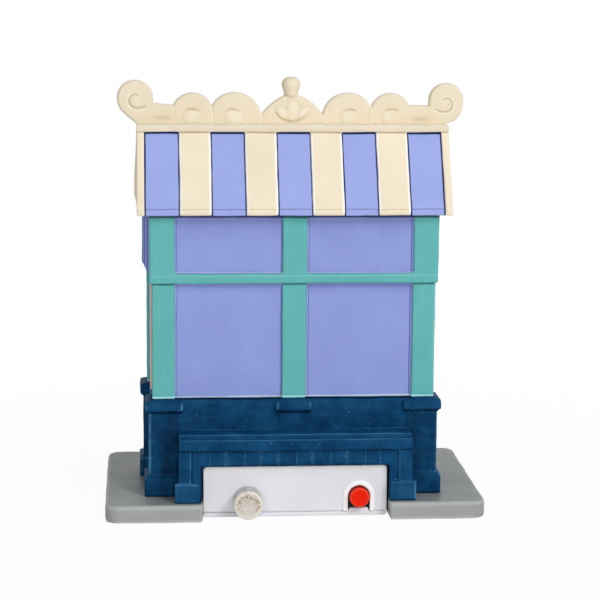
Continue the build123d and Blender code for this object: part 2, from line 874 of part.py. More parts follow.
# Upright control board with the chip, the capacitor, the volume control and the push switch
board_half = shell_inner_half - door_gap
control_board = block(
    -board_half, board_half, board_front, board_back, cover_top + door_gap, shell_inner_top - door_gap
)
chip_z = (cover_top + shell_inner_top) * half
sound_chip = rod_y(0, chip_z, chip_radius, board_front - chip_height, board_front)
sound_chip = fillet(sound_chip.faces().sort_by(Axis.Y)[0].edges(), chip_round)
capacitor_x = chip_radius + capacitor_radius * 2
capacitor = rod_y(capacitor_x, chip_z, capacitor_radius, board_front - capacitor_length, board_front)
pot_front = board_front - pot_depth
pot_half = pot_width * half
pot_rise = pot_height * half
volume_pot = block(
    -knob_x - pot_half, pot_half - knob_x, pot_front, board_front, knob_z - pot_rise, knob_z + pot_rise
)
volume_pot += rod_y(-knob_x, knob_z, pot_bushing_radius, shell_inner_front + door_gap, pot_front)
pot_bore_end = board_front - pot_depth * (1 - pot_bore_share)
volume_pot -= rod_y(-knob_x, knob_z, shaft_radius + run_clear, shell_inner_front, pot_bore_end)
knob_back = module_front - knob_gap
knob_front = knob_back - knob_length
volume_shaft = rod_y(-knob_x, knob_z, shaft_radius, knob_back - shaft_seat, pot_bore_end - door_gap)
volume_knob = rod_y(-knob_x, knob_z, knob_radius, knob_front, knob_back)
volume_knob = chamfer(volume_knob.faces().sort_by(Axis.Y)[0].edges(), knob_chamfer)
for flute in range(knob_flutes):
    angle = math.tau * flute / knob_flutes
    x = knob_radius * math.cos(angle) - knob_x
    z = knob_radius * math.sin(angle) + knob_z
    volume_knob -= rod_y(x, z, flute_radius, knob_front - overrun, knob_back + overrun)
volume_knob -= rod_y(-knob_x, knob_z, shaft_radius, knob_back - shaft_seat, knob_back + overrun)

switch_front = board_front - switch_depth
button_front = module_front - button_proud
button_back = switch_front - button_travel - button_stop
switch_half = switch_width * half
plunger_half = plunger_width * half
plunger_start = button_back - plunger_seat
plunger_end = plunger_start + plunger_length + plunger_seat


def square_rod(size_half, y_low, y_high):
    return block(
        control_x - size_half, control_x + size_half, y_low, y_high, control_z - size_half, control_z + size_half
    )


power_switch = square_rod(switch_half, switch_front, board_front)
power_switch -= square_rod(
    plunger_half + run_clear, switch_front - overrun, plunger_end + button_travel + door_gap
)
switch_plunger = square_rod(plunger_half, plunger_start, plunger_end)
power_button = rod_y(control_x, control_z, button_radius, button_front, button_back)
power_button = fillet(power_button.faces().sort_by(Axis.Y)[0].edges(), button_round)
power_button -= square_rod(plunger_half, plunger_start, button_back + overrun)

# Speaker glued on the module, cone upwards
speaker_low = module_top
speaker_top = speaker_low + speaker_height
magnet_top = speaker_low + magnet_height
rim_low = speaker_top - speaker_rim
speaker_magnet = rod_z(0, house_y, magnet_radius, speaker_low, magnet_top)


def turned(points):
    # Outline of (radius, z) points, turned about the speaker's upright axis
    outline = make_face(Polyline(*[(radius, 0, z) for radius, z in points], close=True))
    return Pos(0, house_y, 0) * revolve(outline, Axis.Z)


speaker_basket = turned(
    [
        (0, magnet_top),
        (magnet_radius, magnet_top),
        (speaker_radius - speaker_rim, rim_low),
        (speaker_radius, rim_low),
        (speaker_radius, speaker_top),
        (speaker_radius - speaker_rim * 2, speaker_top),
        (speaker_radius - speaker_rim * 2, rim_low),
        (magnet_radius - basket_thick, magnet_top + basket_thick),
        (0, magnet_top + basket_thick),
    ]
)
cone_low = magnet_top + basket_thick
cone_edge = speaker_radius - speaker_rim * 2
speaker_cone = turned(
    [
        (0, cone_low),
        (dust_cap_radius, cone_low),
        (cone_edge, rim_low),
        (cone_edge, rim_low + cone_thick),
        (dust_cap_radius, cone_low + cone_thick),
        (0, cone_low + cone_thick * 2),
    ]
)

# Light board under the canopy deck, with its LEDs hanging down
light_half = light_board_length * half
light_y = light_board_width * half
light_low = hollow_high - board_thick
light_board = block(-light_half, light_half, house_y - light_y, house_y + light_y, light_low, hollow_high)
led_list = []
for led in range(led_count):
    x = (led - (led_count - 1) * half) * led_spacing
    bulb = rod_z(x, house_y, led_radius, light_low - led_length + led_radius, light_low)
    bulb += Pos(x, house_y, light_low - led_length + led_radius) * Sphere(led_radius)
    led_list.append(bulb + rod_z(x, house_y, led_radius + led_flange, light_low - led_flange * 2, light_low))
leds = Compound(led_list)

# Leads from the control board to the lights, the speaker and the cell contacts
lead_z = shell_inner_top - lead_hole - lead_radius
light_lead_end = light_half - lead_hole * 2
lead_turn_z = soffit_z + soffit_thick
light_lead = lead(
    (light_lead_x, board_back, lead_z),
    (light_lead_x, lead_y, lead_z),
    (light_lead_x, lead_y, lead_turn_z),
    (light_lead_end, house_y, lead_turn_z + lead_bend * 3),
    (light_lead_end, house_y, light_low),
)
speaker_lead_top = speaker_top + lead_bend * 2
speaker_lead_end = speaker_radius - speaker_rim
speaker_lead = lead(
    (speaker_lead_x, board_back, lead_z),
    (speaker_lead_x, lead_y, lead_z),
    (speaker_lead_x, lead_y, speaker_lead_top),
    (speaker_lead_end, house_y, speaker_lead_top),
    (speaker_lead_end, house_y, speaker_top),
)
battery_lead_x = contact_face - lead_radius
battery_leads = Compound(
    [
        lead(
            (-battery_lead_x, board_back, lead_z),
            (-battery_lead_x, first_cell_y, lead_z),
            (-battery_lead_x, first_cell_y, cell_z + pad_half),
        ),
    ]
)

# Module screws, driven up through the ears into the plinth lugs
screw_head_low = ear_low - screw_head_height
shank_radius = screw_radius - thread_clear


def screw(x):
    body = rod_z(x, module_middle, shank_radius, ear_low, plate_top + screw_length)
    body += rod_z(x, module_middle, screw_head_radius, screw_head_low, ear_low)
    slot_half = slot_width * half
    return body - block(
        x - screw_head_radius,
        x + screw_head_radius,
        module_middle - slot_half,
        module_middle + slot_half,
        screw_head_low - overrun,
        screw_head_low + slot_depth,
    )


module_screws = Compound([screw(-screw_x), screw(screw_x)])

nodes = {
    "ground_plate": ground_plate,
    "plinth": plinth,
    "rear_bench": rear_bench,
    "wall_shell": wall_shell,
    "lower_posts": lower_posts,
    "upper_frame": upper_frame,
    "front_window_frames": front_window_frames,
    "front_window_panes": front_window_panes,
    "side_window_frames": side_window_frames,
    "side_window_panes": side_window_panes,
    "side_aprons": side_aprons,
    "side_hoods": side_hoods,
    "canopy": canopy,
    "rear_stripes": rear_stripes,
    "front_stripes": front_stripes,
    "gable_boards": gable_boards,
    "cornice": cornice,
    "crest": crest,
    "finial": finial,
    "module_shell": module_shell,
    "module_cover": module_cover,
    "battery_door": battery_door,
    "first_cell": first_cell,
    "second_cell": second_cell,
    "series_contact": series_contact,
    "terminal_contacts": terminal_contacts,
    "control_board": control_board,
    "sound_chip": sound_chip,
    "capacitor": capacitor,
    "volume_pot": volume_pot,
    "volume_shaft": volume_shaft,
    "volume_knob": volume_knob,
    "power_switch": power_switch,
    "switch_plunger": switch_plunger,
    "power_button": power_button,
    "speaker_magnet": speaker_magnet,
    "speaker_basket": speaker_basket,
    "speaker_cone": speaker_cone,
    "light_board": light_board,
    "leds": leds,
    "light_lead": light_lead,
    "speaker_lead": speaker_lead,
    "battery_leads": battery_leads,
    "module_screws": module_screws,
}

os.makedirs("parts", exist_ok=True)
for name, shape in nodes.items():
    export_step(shape, f"parts/{name}.step")
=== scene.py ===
from functools import reduce
from itertools import product
from math import atan2, ceil, cos, hypot, pi, radians, sin, tau

import bmesh
import bpy
import numpy as np
from mathutils import Euler, Matrix, Vector, noise
from mathutils.bvhtree import BVHTree
from mathutils.geometry import delaunay_2d_cdt


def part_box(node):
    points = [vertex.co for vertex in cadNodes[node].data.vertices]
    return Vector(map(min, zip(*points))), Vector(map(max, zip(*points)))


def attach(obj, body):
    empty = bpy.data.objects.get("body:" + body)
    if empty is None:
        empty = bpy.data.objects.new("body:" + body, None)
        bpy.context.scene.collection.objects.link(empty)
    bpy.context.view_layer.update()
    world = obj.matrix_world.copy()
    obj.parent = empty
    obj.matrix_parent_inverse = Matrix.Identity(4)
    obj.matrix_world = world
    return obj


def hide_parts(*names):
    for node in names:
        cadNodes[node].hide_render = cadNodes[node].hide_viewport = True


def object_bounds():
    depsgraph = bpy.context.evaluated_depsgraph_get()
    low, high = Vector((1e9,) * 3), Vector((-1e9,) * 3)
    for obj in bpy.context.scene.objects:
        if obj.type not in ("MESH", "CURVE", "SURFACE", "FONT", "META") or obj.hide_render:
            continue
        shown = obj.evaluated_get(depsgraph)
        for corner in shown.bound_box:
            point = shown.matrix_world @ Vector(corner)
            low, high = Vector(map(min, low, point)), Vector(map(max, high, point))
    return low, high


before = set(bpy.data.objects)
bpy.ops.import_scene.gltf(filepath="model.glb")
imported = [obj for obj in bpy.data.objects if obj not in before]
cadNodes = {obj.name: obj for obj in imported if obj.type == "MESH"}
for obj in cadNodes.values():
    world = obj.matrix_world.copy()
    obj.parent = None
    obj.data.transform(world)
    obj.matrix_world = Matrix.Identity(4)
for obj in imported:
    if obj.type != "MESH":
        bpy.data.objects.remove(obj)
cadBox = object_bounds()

mm = 0.001  # pieces are shaped in millimetres, then scaled to metres
weldGap = 1e-4  # millimetres between points that are one
cadWeldGap = 1e-6  # the same in metres, for the loose triangles of a CAD node
scene = bpy.context.scene
print("frame loaded with", len(cadNodes), "nodes")


def hexColour(code):
    # sRGB to linear
    channels = [int(code[place:place + 2], 16) / 255 for place in (1, 3, 5)]
    linear = [c / 12.92 if c <= 0.04045 else ((c + 0.055) / 1.055) ** 2.4 for c in channels]
    return (*linear, 1.0)


def addNode(tree, kind, sockets=None, **settings):
    node = tree.nodes.new(kind)
    for name, value in settings.items():
        setattr(node, name, value)
    for name, value in (sockets or {}).items():
        if isinstance(value, bpy.types.NodeSocket):
            tree.links.new(value, node.inputs[name])
        else:
            node.inputs[name].default_value = value
    return node


def freshTree(owner):
    owner.use_nodes = True
    owner.node_tree.nodes.clear()
    return owner.node_tree


def span(limits):
    # sockets of a range: from low, from high, to low, to high
    return dict(enumerate(limits, 1))


def boxMm(node):
    low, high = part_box(node)
    return np.array(low) / mm, np.array(high) / mm


def newPiece(name, mesh):
    piece = bpy.data.objects.new(name, mesh)
    scene.collection.objects.link(piece)
    return piece


def meshFrom(name, points, faces):
    mesh = bpy.data.meshes.new(name)
    mesh.from_pydata([tuple(point) for point in points], [], faces)
    build = bmesh.new()
    build.from_mesh(mesh)
    bmesh.ops.remove_doubles(build, verts=build.verts, dist=weldGap)
    bmesh.ops.recalc_face_normals(build, faces=build.faces)
    build.to_mesh(mesh)
    build.free()
    return mesh


def plainMesh(piece):
    graph = bpy.context.evaluated_depsgraph_get()
    mesh = bpy.data.meshes.new_from_object(piece.evaluated_get(graph))
    piece.modifiers.clear()
    piece.data = mesh
    return piece


def pointsOf(mesh):
    points = np.empty(len(mesh.vertices) * 3, np.float32)
    mesh.vertices.foreach_get("co", points)
    return points.reshape(-1, 3)


def setPoints(mesh, points):
    mesh.vertices.foreach_set("co", np.ascontiguousarray(points, np.float32).ravel())
    mesh.update()


def shifted(points, axis, amount):
    moved = points.copy()
    moved[:, axis] += amount
    return moved


def setValues(mesh, name, values):
    attribute = mesh.attributes.get(name) or mesh.attributes.new(name, "FLOAT", "POINT")
    attribute.data.foreach_set("value", np.ascontiguousarray(values, np.float32))


def smoothStep(values, low, high):
    share = np.clip((values - low) / (high - low), 0, 1)
    return share * share * (3 - 2 * share)


def fadeOut(values, low, high):
    return 1 - smoothStep(values, low, high)


def band(values, middle, half, soft):
    return fadeOut(np.abs(values - middle), half, half + soft)


def bell(distance, width):
    return np.exp(-(distance / width) ** 2)


def strongest(*layers):
    return reduce(np.maximum, layers)


# How close the solids crowd round a point: half on a flat, more in a corner, less on an edge
crowding = {
    "cell": 0.36, "margin": 2.0, "reach": 1, "passes": 2, "probe": 0.5,
    # painted shade in corners and creases, pale edges that are partly wear and partly painted highlight
    "paintedShadeAndLines": (0.56, 0.72), "wearAndHighlight": (0.30, 0.43),
    "offGrid": (0.513, 0.489), "below": 1.0, "past": 1e-3,  # rays keep off the edges of the solids
}


def solidCells(node, low, count, cell):
    cells = np.zeros(count, bool)
    build = bmesh.new()
    build.from_mesh(cadNodes[node].data)
    build.transform(Matrix.Scale(1 / mm, 4))
    tree = BVHTree.FromBMesh(build)
    build.free()
    nodeLow, nodeHigh = boxMm(node)
    first = np.floor((nodeLow - low) / cell).astype(int)
    last = np.ceil((nodeHigh - low) / cell).astype(int)
    upwards = Vector((0, 0, 1))
    for column in product(range(first[0], last[0]), range(first[1], last[1])):
        x, y = (low[k] + (column[k] + crowding["offGrid"][k]) * cell for k in (0, 1))
        start, hits = Vector((x, y, nodeLow[2] - crowding["below"])), []
        while (place := tree.ray_cast(start, upwards)[0]) is not None:
            hits.append((place.z - low[2]) / cell)
            start = place + upwards * crowding["past"]
        for enter, leave in zip(hits[::2], hits[1::2]):
            cells[column[0], column[1], round(enter):round(leave)] = True
    return cells


def boxBlur(field, reach):
    width = 2 * reach + 1
    for axis in range(3):
        ends = [(0, 0)] * 3
        ends[axis] = (reach + 1, reach)
        total = np.cumsum(np.pad(field, ends, mode="edge"), axis=axis, dtype=np.float32)
        far = np.take(total, np.arange(width, total.shape[axis]), axis=axis)
        near = np.take(total, np.arange(total.shape[axis] - width), axis=axis)
        field = (far - near) / width
    return field


def crowdField(nodes):
    cell = crowding["cell"]
    low = np.array(cadBox[0]) / mm - crowding["margin"]
    high = np.array(cadBox[1]) / mm + crowding["margin"]
    count = np.ceil((high - low) / cell).astype(int)
    field = np.zeros(count, bool)
    for node in nodes:
        field |= solidCells(node, low, count, cell)
    field = field.astype(np.float32)
    for _ in range(crowding["passes"]):
        field = boxBlur(field, crowding["reach"])
    return field, low


def crowdAt(points):
    field, low = crowd
    grid = (points - low) / crowding["cell"] - 0.5  # values sit in the middle of their cells
    base = np.floor(grid).astype(int)
    part = grid - base
    base = np.clip(base, 0, np.array(field.shape) - 2)
    total = np.zeros(len(points), np.float32)
    for corner in product((0, 1), repeat=3):
        weight = np.prod(np.where(corner, part, 1 - part), axis=1)
        total += field[tuple((base + corner).T)] * weight
    return total


crowd = crowdField([
    "ground_plate", "plinth", "rear_bench", "wall_shell", "lower_posts", "upper_frame",
    "front_window_frames", "front_window_panes", "side_window_frames", "side_window_panes",
    "side_aprons", "side_hoods", "canopy", "rear_stripes", "front_stripes", "gable_boards",
    "cornice", "crest", "finial", "module_shell", "module_cover",
])
print("crowding field", crowd[0].shape)

# One gentle warp bends every casting alike, so the pieces still meet
warp = {"wave": 7.0, "reach": 0.13, "seed": 11}
noise.seed_set(warp["seed"])  # unset, the warp would follow the clock


def warped(points):
    bent = np.empty_like(points)
    for row, point in enumerate(points):
        bent[row] = noise.noise_vector(Vector(point) / warp["wave"])
    return points + bent * warp["reach"]


def paintEdges(mesh, shade=None, shape=None):
    # the crowding is read before the shape moves the points
    points = pointsOf(mesh)
    normals = np.empty(points.size, np.float32)
    mesh.vertices.foreach_get("normal", normals)
    probe = normals.reshape(-1, 3) * crowding["probe"]
    near = (crowdAt(points + probe) + crowdAt(points - probe)) / 2
    # painted shade where the solids crowd, pale edges where they thin out, partly wear and partly painted
    # highlight
    paintedShadeAndLines, wearAndHighlight = smoothStep(near, *crowding["paintedShadeAndLines"]), fadeOut(near, *crowding["wearAndHighlight"])
    if shape:
        points = shape(points)
        setPoints(mesh, points)
    if shade:
        paintedShadeAndLines, wearAndHighlight = shade(points, paintedShadeAndLines, wearAndHighlight)
    setValues(mesh, "paintedShadeAndLines", paintedShadeAndLines)
    setValues(mesh, "wearAndHighlight", wearAndHighlight)


def finishPiece(piece, material, nodes, body="house", bend=True):
    mesh = piece.data
    if bend:
        setPoints(mesh, warped(pointsOf(mesh)))
    mesh.transform(Matrix.Scale(mm, 4))
    mesh.materials.clear()
    mesh.materials.append(material)
    mesh.shade_smooth()
    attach(piece, body)
    for replaced in nodes:
        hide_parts(replaced)
    return piece


# Painted cast ceramic: hand brushed satin paint, painted shade in the corners, rubbed edges with painted
# highlight
ceramicCoat = {
    "blotch": (0.35, 0.68), "stroke": (0.52, 0.75), "patchyShade": (0.3, 0.6, 0.55), "wearAndHighlightPatches": (0.4, 0.6),
    "dust": 0.9, "fleck": (0.75, 0.8), "wobble": 0.25, "lineSoft": 0.15, "sheen": (0.3, 0.7), "relief": 0.12,
}


def paintedCeramic(name, finish):
    coat = ceramicCoat
    material = bpy.data.materials.new(name)
    tree = freshTree(material)
    place = addNode(tree, "ShaderNodeTexCoord").outputs["Object"]
    mottle = addNode(tree, "ShaderNodeTexNoise", {
        "Vector": place, "Scale": 1 / (finish["mottle"] * mm), "Detail": 3.0,
    }).outputs[0]
    along = addNode(tree, "ShaderNodeMapping", {"Vector": place, "Scale": finish["grain"]}).outputs[0]
    brush = addNode(tree, "ShaderNodeTexNoise", {
        "Vector": along, "Scale": 1 / (finish["brush"] * mm), "Detail": 4.0, "Roughness": 0.6,
    }).outputs[0]
    blotch = addNode(tree, "ShaderNodeMapRange", {"Value": mottle, **span(coat["blotch"])}).outputs[0]
    strokes = (*coat["stroke"], 0.0, finish["stroke"])
    stroke = addNode(tree, "ShaderNodeMapRange", {"Value": brush, **span(strokes)}).outputs[0]
    layers = [(blotch, "deep"), (stroke, "light")]
    # painted shade and pale edges, partly wear and partly painted highlight, read from the mesh attributes
    for value, pattern, patches, limit, tone in (
        ("paintedShadeAndLines", mottle, coat["patchyShade"], finish["paintedShadeShare"], "paintedShadeAndLines"),
        ("wearAndHighlight", brush, (*coat["wearAndHighlightPatches"], finish["keep"]), finish["wearAndHighlightShare"], "light"),
    ):
        amount = addNode(tree, "ShaderNodeAttribute", attribute_name=value).outputs["Fac"]
        patchy = addNode(tree, "ShaderNodeMapRange", {"Value": pattern, **span(patches)}).outputs[0]
        share = addNode(tree, "ShaderNodeMath", {0: amount, 1: patchy}, operation="MULTIPLY").outputs[0]
        limited = addNode(tree, "ShaderNodeMath", {0: share, 1: limit}, operation="MULTIPLY").outputs[0]
        layers.append((limited, tone))
    if "fleck" in finish:
        dust = addNode(tree, "ShaderNodeTexNoise", {
            "Vector": place, "Scale": 1 / (coat["dust"] * mm), "Detail": 1.0,
        }).outputs[0]
        flecks = (*coat["fleck"], 0.0, finish["fleck"])
        dots = addNode(tree, "ShaderNodeMapRange", {"Value": dust, **span(flecks)}).outputs[0]
        layers.append((dots, "light"))
    inMm = addNode(tree, "ShaderNodeVectorMath", {0: place, "Scale": 1 / mm}, operation="SCALE").outputs[0]
    shake = (0.0, 1.0, -coat["wobble"], coat["wobble"])
    wobble = addNode(tree, "ShaderNodeMapRange", {"Value": mottle, **span(shake)}).outputs[0]
    shaken = addNode(tree, "ShaderNodeVectorMath", {0: inMm, 1: wobble}).outputs[0]
    coords = addNode(tree, "ShaderNodeSeparateXYZ", {0: shaken}).outputs
    for axis, middle, half, tone, strength in finish.get("lines", ()):
        off = addNode(tree, "ShaderNodeMath", {0: coords[axis], 1: middle}, operation="SUBTRACT").outputs[0]
        away = addNode(tree, "ShaderNodeMath", {0: off}, operation="ABSOLUTE").outputs[0]
        fade = (half, half + coat["lineSoft"], strength, 0.0)
        line = addNode(tree, "ShaderNodeMapRange", {"Value": away, **span(fade)}).outputs[0]
        layers.append((line, tone))
    colour = hexColour(finish["base"])
    for share, tone in layers:
        colour = addNode(tree, "ShaderNodeMix", {
            0: share, 6: colour, 7: hexColour(finish[tone]),
        }, data_type="RGBA").outputs[2]
    shine = (*coat["sheen"], *finish["rough"])
    sheen = addNode(tree, "ShaderNodeMapRange", {"Value": brush, **span(shine)}).outputs[0]
    bump = addNode(tree, "ShaderNodeBump", {
        "Height": brush, "Strength": finish["bump"], "Distance": coat["relief"] * mm,
    }).outputs[0]
    shader = addNode(tree, "ShaderNodeBsdfPrincipled", {
        "Base Color": colour, "Roughness": sheen, "Normal": bump, "IOR": 1.5,
        "Specular IOR Level": finish["gloss"],
    })
    addNode(tree, "ShaderNodeOutputMaterial", {"Surface": shader.outputs[0]})
    return material


# Levels and edges that the painted lines follow
postLow, postHigh = boxMm("lower_posts")
plinthTop, railLow = postLow[2], postHigh[2]
railTall = 3.3
railTop = railLow + railTall
canopyLow, canopyHigh = boxMm("canopy")
hoodEdge = boxMm("side_hoods")[1][0]
stripeShape = {"count": 5, "cream": 9.84, "hem": 2.0, "topHalf": 7.7, "sunk": 0.4, "thick": 0.6, "step": 0.5}
fieldWidth = canopyHigh[0] - canopyLow[0]
stripeWidth = (fieldWidth - stripeShape["cream"] * (stripeShape["count"] - 1)) / stripeShape["count"]
stripePitch = stripeWidth + stripeShape["cream"]
stripeStarts = [canopyLow[0] + stripePitch * k for k in range(stripeShape["count"])]
stripeSides = [(start, start + stripeWidth) for start in stripeStarts]

# Each painted line: distance from its edge, half width, tone and strength. The eave line and the stripe tops
# and sides are painted shade, the sill and cream side lines painted highlight
brushLines = {
    "foot": (0.45, 0.32, "rim", 1.0), "sill": (0.2, 0.12, "light", 0.6),
    "streak": (-0.75, 0.15, "light", 0.25), "eave": (-0.5, 0.5, "shade", 0.85),
    "hem": (0.0, 0.1, "paintedShadeAndLines", 0.45), "stripeTop": (-0.5, 0.42, "paintedShadeAndLines", 1.0),
    "stripeSide": (0.0, 0.38, "paintedShadeAndLines", 1.0), "creamSide": (0.3, 0.2, "light", 1.0),
    "hood": (0.0, 0.12, "paintedShadeAndLines", 0.6),
}
hoodInsets = (0.1, 0.75, 1.7)
panelBorder = {"half": 0.1, "lines": ((-37.15, 0.7), (4.55, 0.7), (37.0, 1.0))}  # place and strength


def paintLine(axis, edge, kind, outwards=1):
    off, half, tone, strength = brushLines[kind]
    return (axis, edge + outwards * off, half, tone, strength)


hemLine = paintLine(2, canopyLow[2] + stripeShape["hem"], "hem")
stripeLines = [paintLine(0, edge, "stripeSide") for sides in stripeSides for edge in sides]
stripeLines += [paintLine(2, canopyHigh[2], "stripeTop"), hemLine]
creamLines = [hemLine]
for start, end in stripeSides:
    creamLines += [paintLine(0, start, "creamSide", -1), paintLine(0, end, "creamSide")]
footLine, eaveLine = paintLine(2, plinthTop, "foot"), paintLine(2, canopyLow[2], "eave")
wallLines = [(0, place, panelBorder["half"], "paintedShadeAndLines", strength) for place, strength in panelBorder["lines"]]
wallLines += [footLine, paintLine(2, railTop, "sill"), eaveLine]
postLines = [footLine, eaveLine, paintLine(2, railTop, "streak")]
hoodLines = [paintLine(0, side * (hoodEdge - inset), "hood") for side in (-1, 1) for inset in hoodInsets]

downStrokes, crossStrokes = (1.0, 1.0, 0.18), (0.12, 1.0, 1.0)  # stretch of the brush marks
satinFinish = {
    "mottle": 12, "brush": 2.0, "grain": downStrokes, "stroke": 0.06, "keep": 0.3, "gloss": 0.2,
    "rough": (0.42, 0.56), "bump": 0.12,
}
wallPaint = paintedCeramic("lavenderWallPaint", satinFinish | {
    "base": "#909FDB", "deep": "#8C9AD6", "light": "#C6CFFA", "paintedShadeAndLines": "#5A63A8", "shade": "#181F55",
    "rim": "#CFE4FF", "mottle": 16, "brush": 2.2, "stroke": 0.05, "paintedShadeShare": 0.7, "wearAndHighlightShare": 0.6,
    "bump": 0.15, "lines": wallLines,
})
tealPaint = paintedCeramic("tealTrimPaint", satinFinish | {
    "base": "#63B7B5", "deep": "#5DB1AF", "light": "#9CDAD6", "paintedShadeAndLines": "#2A6470", "shade": "#0E3550",
    "rim": "#B6FAFF", "mottle": 14, "stroke": 0.14, "paintedShadeShare": 0.7, "wearAndHighlightShare": 0.45, "bump": 0.15,
    "lines": postLines,
})
navyPaint = paintedCeramic("navyPlinthPaint", satinFinish | {
    "base": "#134A73", "deep": "#09385F", "light": "#5293BC", "paintedShadeAndLines": "#03152A", "mottle": 5, "brush": 1.6,
    "grain": crossStrokes, "stroke": 0.08, "paintedShadeShare": 0.9, "wearAndHighlightShare": 0.95, "keep": 0.4, "gloss": 0.03,
    "rough": (0.40, 0.56), "bump": 0.3, "fleck": 0.55,
})
creamFinish = satinFinish | {
    "base": "#F3E7CD", "deep": "#EEE2C7", "light": "#FFFCF2", "paintedShadeAndLines": "#B7A47C", "paintedShadeShare": 0.6,
    "wearAndHighlightShare": 0.7, "keep": 0.4, "rough": (0.45, 0.6),
}
crestFinish = creamFinish | {"base": "#EDE0C7", "deep": "#E9DCC0", "paintedShadeShare": 0.8}
creamPaint = paintedCeramic("creamPaint", creamFinish)
canopyPaint = paintedCeramic("creamCanopyPaint", creamFinish | {"lines": creamLines})
crestPaint = paintedCeramic("creamCrestPaint", crestFinish)
stripeFinish = satinFinish | {
    "base": "#9EADE9", "deep": "#9AA8E4", "light": "#BCC7F8", "paintedShadeAndLines": "#232A66", "paintedShadeShare": 0.9,
    "wearAndHighlightShare": 0.4,
}
hoodPaint = paintedCeramic("lavenderHoodPaint", stripeFinish | {"lines": hoodLines})
stripePaint = paintedCeramic("lavenderStripePaint", stripeFinish | {"lines": stripeLines})
smallFinish = satinFinish | {"mottle": 8, "brush": 1.0, "stroke": 0.12, "paintedShadeShare": 0.8, "bump": 0.2}
pinkPaint = paintedCeramic("pinkFramePaint", smallFinish | {
    "base": "#F6C2BA", "deep": "#EFB5AE", "light": "#FFE6E0", "paintedShadeAndLines": "#8A4A50", "wearAndHighlightShare": 0.6,
})
darkRedPaint = paintedCeramic("darkRedPaint", smallFinish | {
    "base": "#8E2A36", "deep": "#7C222E", "light": "#B65A62", "paintedShadeAndLines": "#3A0E16", "wearAndHighlightShare": 0.5,
})
greyPaint = paintedCeramic("greyPavementPaint", satinFinish | {
    "base": "#A2A5A2", "deep": "#9DA09D", "light": "#CED1CC", "paintedShadeAndLines": "#626E72", "mottle": 18, "brush": 2.4,
    "grain": crossStrokes, "paintedShadeShare": 1.0, "wearAndHighlightShare": 0.8, "keep": 0.7, "gloss": 0.3,
    "rough": (0.36, 0.5),
})

# Moulded ABS: even satin plastic with a faint spark-eroded grain
plasticCoat = {
    "flow": 18, "cloud": (0.35, 0.65), "grit": (0.3, 0.7), "roughSpread": (-0.04, 0.06), "relief": 0.05,
    "grain": 0.5, "bump": 0.12, "gloss": 0.4, "dark": "#08080A", "bright": "#FFFFFF",
}


def mouldedPlastic(name, colour, deep, rough, **changes):
    coat = plasticCoat | changes
    material = bpy.data.materials.new(name)
    tree = freshTree(material)
    place = addNode(tree, "ShaderNodeTexCoord").outputs["Object"]
    flow, grit = (addNode(tree, "ShaderNodeTexNoise", {
        "Vector": place, "Scale": 1 / (coat[size] * mm), "Detail": 2.0,
    }).outputs[0] for size in ("flow", "grain"))
    cloud = addNode(tree, "ShaderNodeMapRange", {"Value": flow, **span(coat["cloud"])}).outputs[0]
    layers = [(cloud, deep)]
    # the bright colour is painted highlight, the dark one painted shade and the dark seam
    for value, shade in (("wearAndHighlight", coat["bright"]), ("paintedShadeAndLines", coat["dark"])):
        layers.append((addNode(tree, "ShaderNodeAttribute", attribute_name=value).outputs["Fac"], shade))
    tone = hexColour(colour)
    for share, shade in layers:
        tone = addNode(tree, "ShaderNodeMix", {
            0: share, 6: tone, 7: hexColour(shade),
        }, data_type="RGBA").outputs[2]
    shine = (*coat["grit"], *(rough + more for more in coat["roughSpread"]))
    sheen = addNode(tree, "ShaderNodeMapRange", {"Value": grit, **span(shine)}).outputs[0]
    normal = addNode(tree, "ShaderNodeBump", {
        "Height": grit, "Strength": coat["bump"], "Distance": coat["relief"] * mm,
    }).outputs[0]
    shader = addNode(tree, "ShaderNodeBsdfPrincipled", {
        "Base Color": tone, "Roughness": sheen, "Normal": normal, "IOR": 1.53,
        "Specular IOR Level": coat["gloss"],
    })
    addNode(tree, "ShaderNodeOutputMaterial", {"Surface": shader.outputs[0]})
    return material


whiteAbs = mouldedPlastic("whiteAbs", "#E7E7ED", "#E3E3E9", 0.36)
redAbs = mouldedPlastic("redAbs", "#F12508", "#EB2006", 0.30, gloss=0.08, dark="#7A0A04", bright="#FF4A34")
blackAbs = mouldedPlastic("blackAbs", "#17171A", "#101013", 0.45)
greenLaminate = mouldedPlastic("greenLaminate", "#275C30", "#1F4E28", 0.40, grain=0.3)
blackResin = mouldedPlastic("blackResin", "#111114", "#0A0A0C", 0.25)
redSleeve = mouldedPlastic("redSleeve", "#C01C1C", "#A81616", 0.40)
darkFerrite = mouldedPlastic("darkFerrite", "#2B2B2E", "#222225", 0.60, grain=0.4, bump=0.3)
blackPaper = mouldedPlastic("blackConePaper", "#242424", "#1A1A1A", 0.85, grain=0.35, bump=0.5)
cellWrap = mouldedPlastic("cellWrap", "#43474C", "#3A3E43", 0.32)
milkySheet = mouldedPlastic("milkyWindowSheet", "#FAEFCB", "#F3E4B4", 0.30)
warmLens = mouldedPlastic("warmLedLens", "#F8EFD2", "#F0E3BC", 0.20)

# Bright nickel plate: fine drawing lines blur the shine one way
nickelCoat = {
    "bright": "#C9CACB", "dull": "#B3B5B7", "drawn": (0.08, 1.0, 1.0), "line": 0.3,
    "sheen": (0.3, 0.7, 0.22, 0.38),
}


